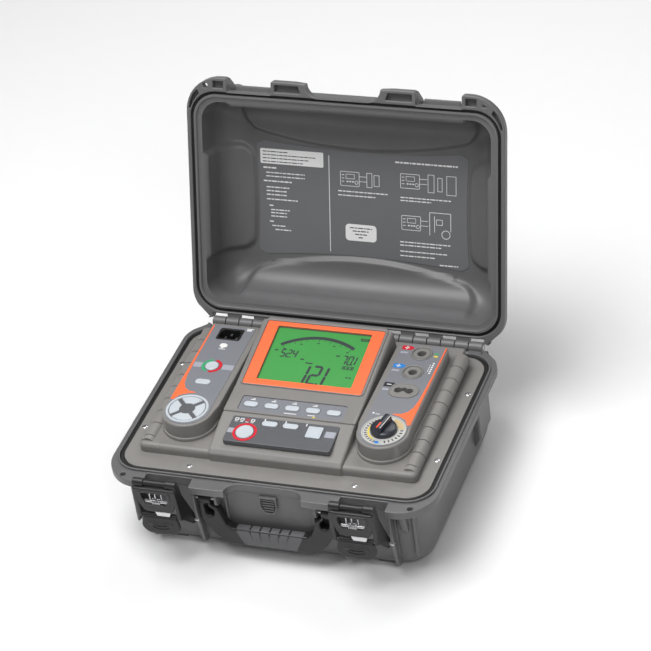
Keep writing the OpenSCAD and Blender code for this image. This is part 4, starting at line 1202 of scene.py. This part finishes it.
def lid_bowl():
    inner = (INNER_W, INNER_D, INNER_R, PLATE_Y)
    outer = (TUB_W, TUB_BACK - TUB_FRONT, TUB_R, TUB_Y)
    rings = [skin(inner, s, CEILING, 90, 5, 105) for s in (118, 105, 95, 86, 80)]
    rings += [skin(inner, 74 - 1.42 * k, CEILING, 90, 5, 105) for k in range(25)]
    for k in range(14, -1, -1):
        a = math.radians(6 * k)
        rings.append(skin(inner, 38.5 - 36 * math.cos(a), 129 + 36 * math.sin(a), 6 * k, 5, 105))
    rings += [skin(inner, 2.5 * (z - 105.5) / 23.5, z, 0, 5, 105) for z in (124, 119, 114, 111, 109.5, 108,
        106.8, 105.5)]
    for grow, z in ((3, 105.5), (5.2, 104.6), (5.8, 102.9), (6.6, 102.4), (7.4, 102.4), (8.8, 102.7), (9.2,
            104),
                    (9.2, 110.9)):
        rings.append(skin(inner, -grow, z, 0, 0, 105))
    for inset, z in ((0.2, 111.6), (0.2, 113), (0.3, 114.5), (0.4, 116), (0.5, 118), (1.0, 130), (1.5, 141),
            (2.0, 150)):
        rings.append(skin(outer, inset, z, 0, 4, 113))
    for k in range(1, 11):
        a = math.radians(9 * k)
        rings.append(skin(outer, 2 + 18 * (1 - math.cos(a)), 150 + 22 * math.sin(a), 9 * k, 4, 113))
    rings += [skin(outer, 22 + 2.5 * k, LID_TOP, 90, 4, 113) for k in range(22)]
    rings += [skin(outer, s, LID_TOP, 90, 4, 113) for s in (84, 98, 118)]
    return loft(rings)


def lid_shell():
    # flange with hollow lugs and corner pockets, and the groove that takes the base's tongue
    pockets = [fillet([(52, -132.5), (55, -141), (84, -141), (84, -132.5)], [1, 1.5, 1, 1]),
               fillet([(148, -132.5), (148, -141), (161, -141), (161, -132.5)], 1),
               fillet([(178.8, -124.5), (181.2, -129.5), (186.5, -123.5), (190.8, -113.5), (192, -106),
               (190.2, -106.5),
                       (186.8, -114.5), (183, -120)], [1, 1, 3, 3, 0.5, 0.5, 3, 3]),
               circle(3.0, PADLOCK_X, PADLOCK_Y, 24)]
    loops = [flange_outline(), seat(2.8)]
    for p in pockets:
        loops += [p, mirrored(p)]
    flange = plate(loops, LID_Z, LID_Z + 8.5, 1.2, 3)
    solid = [flange_outline(), rect(357, 248, 24, 0, PLATE_Y, 10)]
    for s in (-1, 1):
        solid.append(circle(3.0, s * PADLOCK_X, PADLOCK_Y, 24))
    back = plate(solid, LID_Z + 7.5, LID_Z + FLANGE, 0.9, 2)
    parts = [lid_bowl(), back]
    # ribs that run from the lugs down the outside of the front wall
    rib = fillet([(-126, LID_Z + 8), (-144, LID_Z + 8), (-143, LID_Z + 13), (-129, LID_Z + 31), (-124,
        LID_Z + 31)],
                 [0, 0, 6, 3, 0])
    for x in (84, 143.5):
        parts.append(both(along_x(rib, x, x + 4.5, 1.0)))
    lip = fillet([(-122, 116), (-131.5, 117.6), (-133.5, 118.2), (-133.5, 119.9), (-122, 119.9)], [0, 1,
        0.6, 0.6, 0])
    parts.append(both(along_x(lip, 94, 138, 0.6)))
    for k in (1, 3, 5):
        parts.append(knuckle_lid(k))
    shell = union(flange, *parts)
    looks("lid_shell", moved(shell, OPEN_LID), CASE, "lid", sharp=40)
    gasket = plate([seat(2.7), seat(-0.3)], LID_Z + 2.4, LID_Z + 5.9, 1.1, 3)
    looks("lid_gasket", moved(gasket, OPEN_LID), SEAL, "lid")


def knuckle_lid(k):
    x0 = KNUCKLE_X + KNUCKLE_PITCH * k
    eye = rod(x0 + 0.3, x0 + 16.7, HINGE.y, HINGE.z, 6.5, 0.9)
    web = along_x(fillet([(143, RIM + 1), (155, RIM + 1), (156, RIM + 6), (152, RIM + 7.5), (143, RIM + 9)],
                         [0, 0, 2, 2, 0]), x0 + 0.4, x0 + 16.6, 0.5)
    return both(merged(eye, web))


def lid_label():
    """Grey label with generic marks. y runs from the lid's front edge towards its hinge."""
    corner = [Vector((133, -72)), Vector((133, 72)), Vector((-133, 72)), Vector((-133, -72))]
    sides = []
    for i, a in enumerate(corner):
        b = corner[(i + 1) % 4]
        mid = (a + b) / 2
        sag = -mid.normalized() * (3.0 if abs(mid.x) > 1 else 8.0)
        for k in range(13):
            t = 0.04 + 0.92 * k / 12
            sides.append(a.lerp(b, t) + sag * (1 - (2 * t - 1) ** 2))
    loop = fillet([(p.x, p.y + 14) for p in sides], 6, 3)
    face = CEILING - 0.6
    looks("lid_label", moved(plate(loop, face, face + 0.7, 0.15, 1), OPEN_LID), LABEL, "lid")
    white, ink = [], []

    def mark(loops, store=white, lift=0.0):
        store.append(moved(plate(loops, face - 0.1 - lift, face + 0.02 - lift, 0), OPEN_LID))

    def block(x0, x1, y0, y1, r=0.2, store=white, lift=0.0):
        mark(rect(x1 - x0, y1 - y0, r, (x0 + x1) / 2, (y0 + y1) / 2), store, lift)

    def outline(x0, x1, y0, y1, r=0.6, line=0.6):
        cx, cy = (x0 + x1) / 2, (y0 + y1) / 2
        mark([rect(x1 - x0, y1 - y0, r, cx, cy), rect(x1 - x0 - 2 * line, y1 - y0 - 2 * line, r / 2, cx,
            cy)])

    def words(x0, x1, y, h=1.3, store=white, lift=0.0):
        """A row of short bars with gaps, like words too small to read."""
        k = 0
        while x0 < x1 - 1:
            w = min((5.2, 3.1, 6.6, 2.2, 4.4)[k % 5], x1 - x0)
            block(x0, x0 + w, y - h / 2, y + h / 2, 0.15, store, lift)
            x0 += w + 1.0
            k += 1

    block(-128, -48, -46.4, -28, 1.5)
    for k, x1 in enumerate((-92, -58, -66, -74)):
        words(-125, x1, -43.0 + 4.1 * k, 1.1, ink, 0.11)
    block(-41.4, -40.6, -44, 75)
    rows = ((-124.5, -108, -23, 1.9), (-121, -72, -17, 1.3), (-121, -72, -12.5, 1.3), (-124.5, -88, -6.5,
        1.6),
            (-121, -92, 1, 1.4), (-121, -95, 5.7, 1.4), (-121, -95, 10.3, 1.4), (-121, -81.5, 16, 1.4),
            (-118, -112, 23.8, 1.4), (-116, -92, 29, 1.3), (-116, -96, 32.8, 1.3), (-116, -94, 37, 1.3),
            (-118, -112, 43.6, 1.4), (-115, -97, 48.8, 1.3), (-111, -89, 53.6, 1.3))
    for x0, x1, y, h in rows:
        words(x0, x1, y, h)
    block(-21.4, 17.5, 38.5, 59, 4.5)
    for k, w in enumerate((28, 21, 15, 6)):
        words(-2 - w / 2, -2 + w / 2, 43 + 3.9 * k, 1.2, ink, 0.11)
    words(42, 119, -42, 1.9)
    for x0, y0 in ((-27, -26), (48, -29), (49, 22)):
        outline(x0, x0 + 24, y0, y0 + 18, 1.4)
        outline(x0 + 7, x0 + 18, y0 + 3, y0 + 9, 0.6, 0.5)
        mark([circle(2.3, x0 + 20.3, y0 + 13, 20), circle(1.7, x0 + 20.3, y0 + 13, 20)])
        for k in range(3):
            block(x0 + 2, x0 + 5, y0 + 4 + 4 * k, y0 + 4.8 + 4 * k)
            block(x0 + 8 + 3.4 * k, x0 + 10.2 + 3.4 * k, y0 + 11.5, y0 + 13)
        for k in range(2):
            block(x0 + 24, x0 + 33, y0 + 5 + 6 * k, y0 + 5.6 + 6 * k)
    outline(6, 13, -26, -8, 0.4)
    outline(15, 22, -24, -10, 0.8)
    outline(82, 90, -30, -8, 0.4)
    outline(94, 100, -27, -10, 0.4)
    outline(105, 117, -30, -6.5, 0.4)
    for x, y0, y1 in ((84, 16, 44), (90, 20, 40), (110, 16, 38)):
        block(x - 0.35, x + 0.35, y0, y1)
    block(84, 110, 15.7, 16.4)
    mark([circle(5.4, 104, 42, 28), circle(4.7, 104, 42, 28)])
    outline(92, 100, 24, 31, 0.8)
    for x0, x1, y in ((-30, 32, -1.5), (-30, 18, 3.5), (48, 112, 0.3), (48, 86, 4), (47, 110, 55), (47, 98,
            59),
                      (47, 106, 66.5), (47, 90, 72), (96, 119, 80)):
        words(x0, x1, y, 1.3)
    piece("label_marks", merged(*white), WHITE, "lid", slot="key_pale", soften=False)
    piece("label_marks_dark", merged(*ink), INK, "lid", slot="moulded_black", soften=False)


# ---------------------------------------------------------------- latches


# ---------------------------------------------------------------- latches
def latch_parts(side):
    """Frame, trigger and spring of one latch, in the row frame."""
    name = "left" if side < 0 else "right"
    shift = at(side * LATCH_X, 0, 0)
    half = 26.0
    # claw bar: two thick ends and a thinner middle
    prof = [(0, 0), (4.1, 0), (4.8, 0.4), (5.0, 1.2), (5.0, 11.6), (4.6, 12.6), (3.3, 13.4), (3.3, 38.6),
        (4.6, 39.4),
            (5.0, 40.4), (5.0, 50.8), (4.8, 51.6), (4.1, 52), (0, 52)]
    bar = lathe(prof, at(-half, -166, 121) @ Matrix.Rotation(math.pi / 2, 4, "Y"), 32)
    # front frame, drawn in its own plane: x across, v up the frame
    frame_loop = fillet([(-25.6, 39), (-25.6, 30), (-21.5, 14), (-16.5, 2.5), (16.5, 2.5), (21.5, 14),
        (25.6, 30), (25.6, 39)],
                        [3, 12, 16, 8, 8, 16, 12, 3], 6)
    window = fillet([(-16, 33), (-15.5, 24), (-12, 16.5), (12, 16.5), (15.5, 24), (16, 33)], [3, 6, 4, 4, 6,
        3], 4)
    brim = fillet([(-19.3, 36), (-18.6, 23), (-14, 13.4), (14, 13.4), (18.6, 23), (19.3, 36)], [4, 7, 5, 5,
        7, 4], 4)
    tilt = on_slope(-167.4, 79.5, 96.0)
    front = plate([frame_loop, window], -2.6, 2.4, 1.6, 3, tilt)
    rim = plate([brim, window], 1.2, 3.1, 0.8, 2, tilt)
    arm = fillet([(-170, 73.5), (-170.5, 84), (-173, 112), (-170, 124), (-163, 124), (-159.5, 116), (-157,
        102),
                  (-132.8, 51), (-135, 45), (-141, 45), (-164, 70)], [3, 6, 8, 5, 4, 6, 10, 5, 4, 4, 6], 4)
    arms = [along_x(arm, -half, -half + 4.6, 1.1, 2), along_x(arm, half - 4.6, half, 1.1, 2)]
    brace = along_x(fillet([(-169, 111.5), (-173.4, 111.5), (-172.5, 117), (-167, 119)], [1, 2, 2, 2]),
                    -half + 1.2, half - 1.2, 1.2, 2)
    body = union(bar, front, rim, brace, *arms)
    looks("latch_" + name, moved(body, shift), BLACK, "latch_%s_frame" % name)
    pins = [rod(-half + 1, half - 1, -169.5, 98, 2.0), rod(-half + 1, half - 1, -167, 75.5, 1.5, 0.4)]
    for x in (-7.5, -1.0, 6.5):
        pins.append(tube([Vector((x, -169.0, 98 + 2.2 * k)) for k in range(7)], 0.75))
    link = along_y(fillet([(-4, 84), (15, 84), (13, 78), (-2, 78)], [0.5, 0.5, 2, 2]), -170.9, -169.7, 0.4)
    piece("latch_%s_pins" % name, moved(merged(*pins, link), shift), STEEL, "latch_%s_frame" % name)
    # wire coil round the upper pin, with a leg to the trigger
    path = []
    turns = 5
    for k in range(turns * 16 + 1):
        a = 2 * math.pi * k / 16
        path.append(Vector((-5 + 10.0 * k / (turns * 16), -169.5 + 3.1 * math.cos(a),
            98 + 3.1 * math.sin(a))))
    path.append(Vector((5.4, -166.4, 92)))
    path.append(Vector((5.4, -165.6, 84)))
    looks("spring_" + name, moved(tube(path, 0.62), shift), STEEL, "latch_%s_frame" % name)
    # trigger: barrel, neck and flared finger tab with three curved ribs
    barrel = rod(-20.5, 20.5, -167, 75.5, 3.4)
    neck = along_x(fillet([(-164, 76), (-170.3, 76), (-172.5, 66), (-170, 60), (-165.5, 66)], [1, 1, 4, 2,
        3]), -15, 15, 0.9)
    tab_loop = fillet([(-20.5, 19), (-24, 3.5), (-16, -4), (0, -5.6), (16, -4), (24, 3.5), (20.5, 19)],
                      [4, 9, 9, 20, 9, 9, 4], 6)
    tab_tilt = on_slope(-170.0, 57.0, 85.0)
    tab = plate(tab_loop, -2.5, 2.5, 1.9, 3, tab_tilt)
    ribs = []
    for r, a in ((14.0, 36), (17.6, 31), (21.2, 27)):
        ribs.append(plate(arc(0, 24, r + 1.5, 270 - a, 270 + a, 10) + arc(0, 24, r, 270 + a, 270 - a, 10),
            2.0, 3.3, 0.5, 2,
                          tab_tilt))
    body = union(barrel, neck, tab, *ribs)
    looks("trigger_" + name, moved(body, shift), BLACK, "latch_%s_trigger" % name)


# ---------------------------------------------------------------- handle
def handle():
    right = [(52, 21.5), (66, 33), (79, 54), (80.5, 70), (80, 82), (66, 82), (66, 76), (58, 71), (55.5, 62),
        (51, 50),
             (44.5, 45)]
    radii = [9, 16, 16, 6, 0, 0, 3, 4, 6, 5, 3]
    outer = fillet(right + mirrored(right), radii + radii[::-1], 6)
    slot = fillet([(68.5, 76), (63, 68), (63.5, 62.5), (66, 60.5), (70.5, 60.5), (73.6, 63.5), (74.6, 76)],
                  [1, 4, 2.5, 2, 2, 3, 1], 4)
    body = plate([outer, slot, mirrored(slot)], 129.5, 141.5, 2.4, 3, ALONG_Y)
    eyes = both(rod(66, 80, HANDLE_Y, HANDLE_Z, 6.0, 1.0))
    body = union(body, eyes)
    body = cut(body, both(rod(60, 84, HANDLE_Y, HANDLE_Z, 2.06, 0.1, 24)))
    looks("handle_frame", body, BLACK, "handle")
    # tapered grip with five grooves on its upper half
    n, half, pitch = 36, 40.8, 11.8
    xs = [-half, -half + 0.5, -half + 1.5]
    for k in range(-2, 3):
        xs += [k * pitch + d for d in (-3.2, -1.6, -1.1, -0.5, 0.5, 1.1, 1.6, 3.2)]
    xs += [half - 1.5, half - 0.5, half]
    rings = []
    for x in sorted(xs):
        near = min(abs(x - k * pitch) for k in range(-2, 3))
        ring = []
        for j in range(n):
            a = 2 * math.pi * j / n
            c, q = math.cos(a), math.sin(a)
            groove = 0.88 if near < 0.8 and q > 0.1 else 1.0
            if abs(x) > half - 1:
                groove = 0.93 if abs(x) > half - 0.1 else 0.98
            y = 7.6 * math.copysign(abs(c) ** 0.62, c) * groove
            z = 11.8 * math.copysign(abs(q) ** 0.62, q) * groove
            taper = 1 - 0.25 * min(max((11.8 - z) / 22.0, 0), 1)
            ring.append(Vector((x * taper, HANDLE_Y + y, 33.6 + z)))
        rings.append(ring)
    looks("handle_grip", loft(rings, True, False), GRIP, "handle")


base_shell()
panel_seal()
front_panel()
panel_screws()
display()
overlays()
prints()
control_pod()
keys()
sockets()
mains_inlet()
charge_lamp()
dial()
knob()
lid_shell()
lid_label()
latch_parts(-1)
latch_parts(1)
handle()
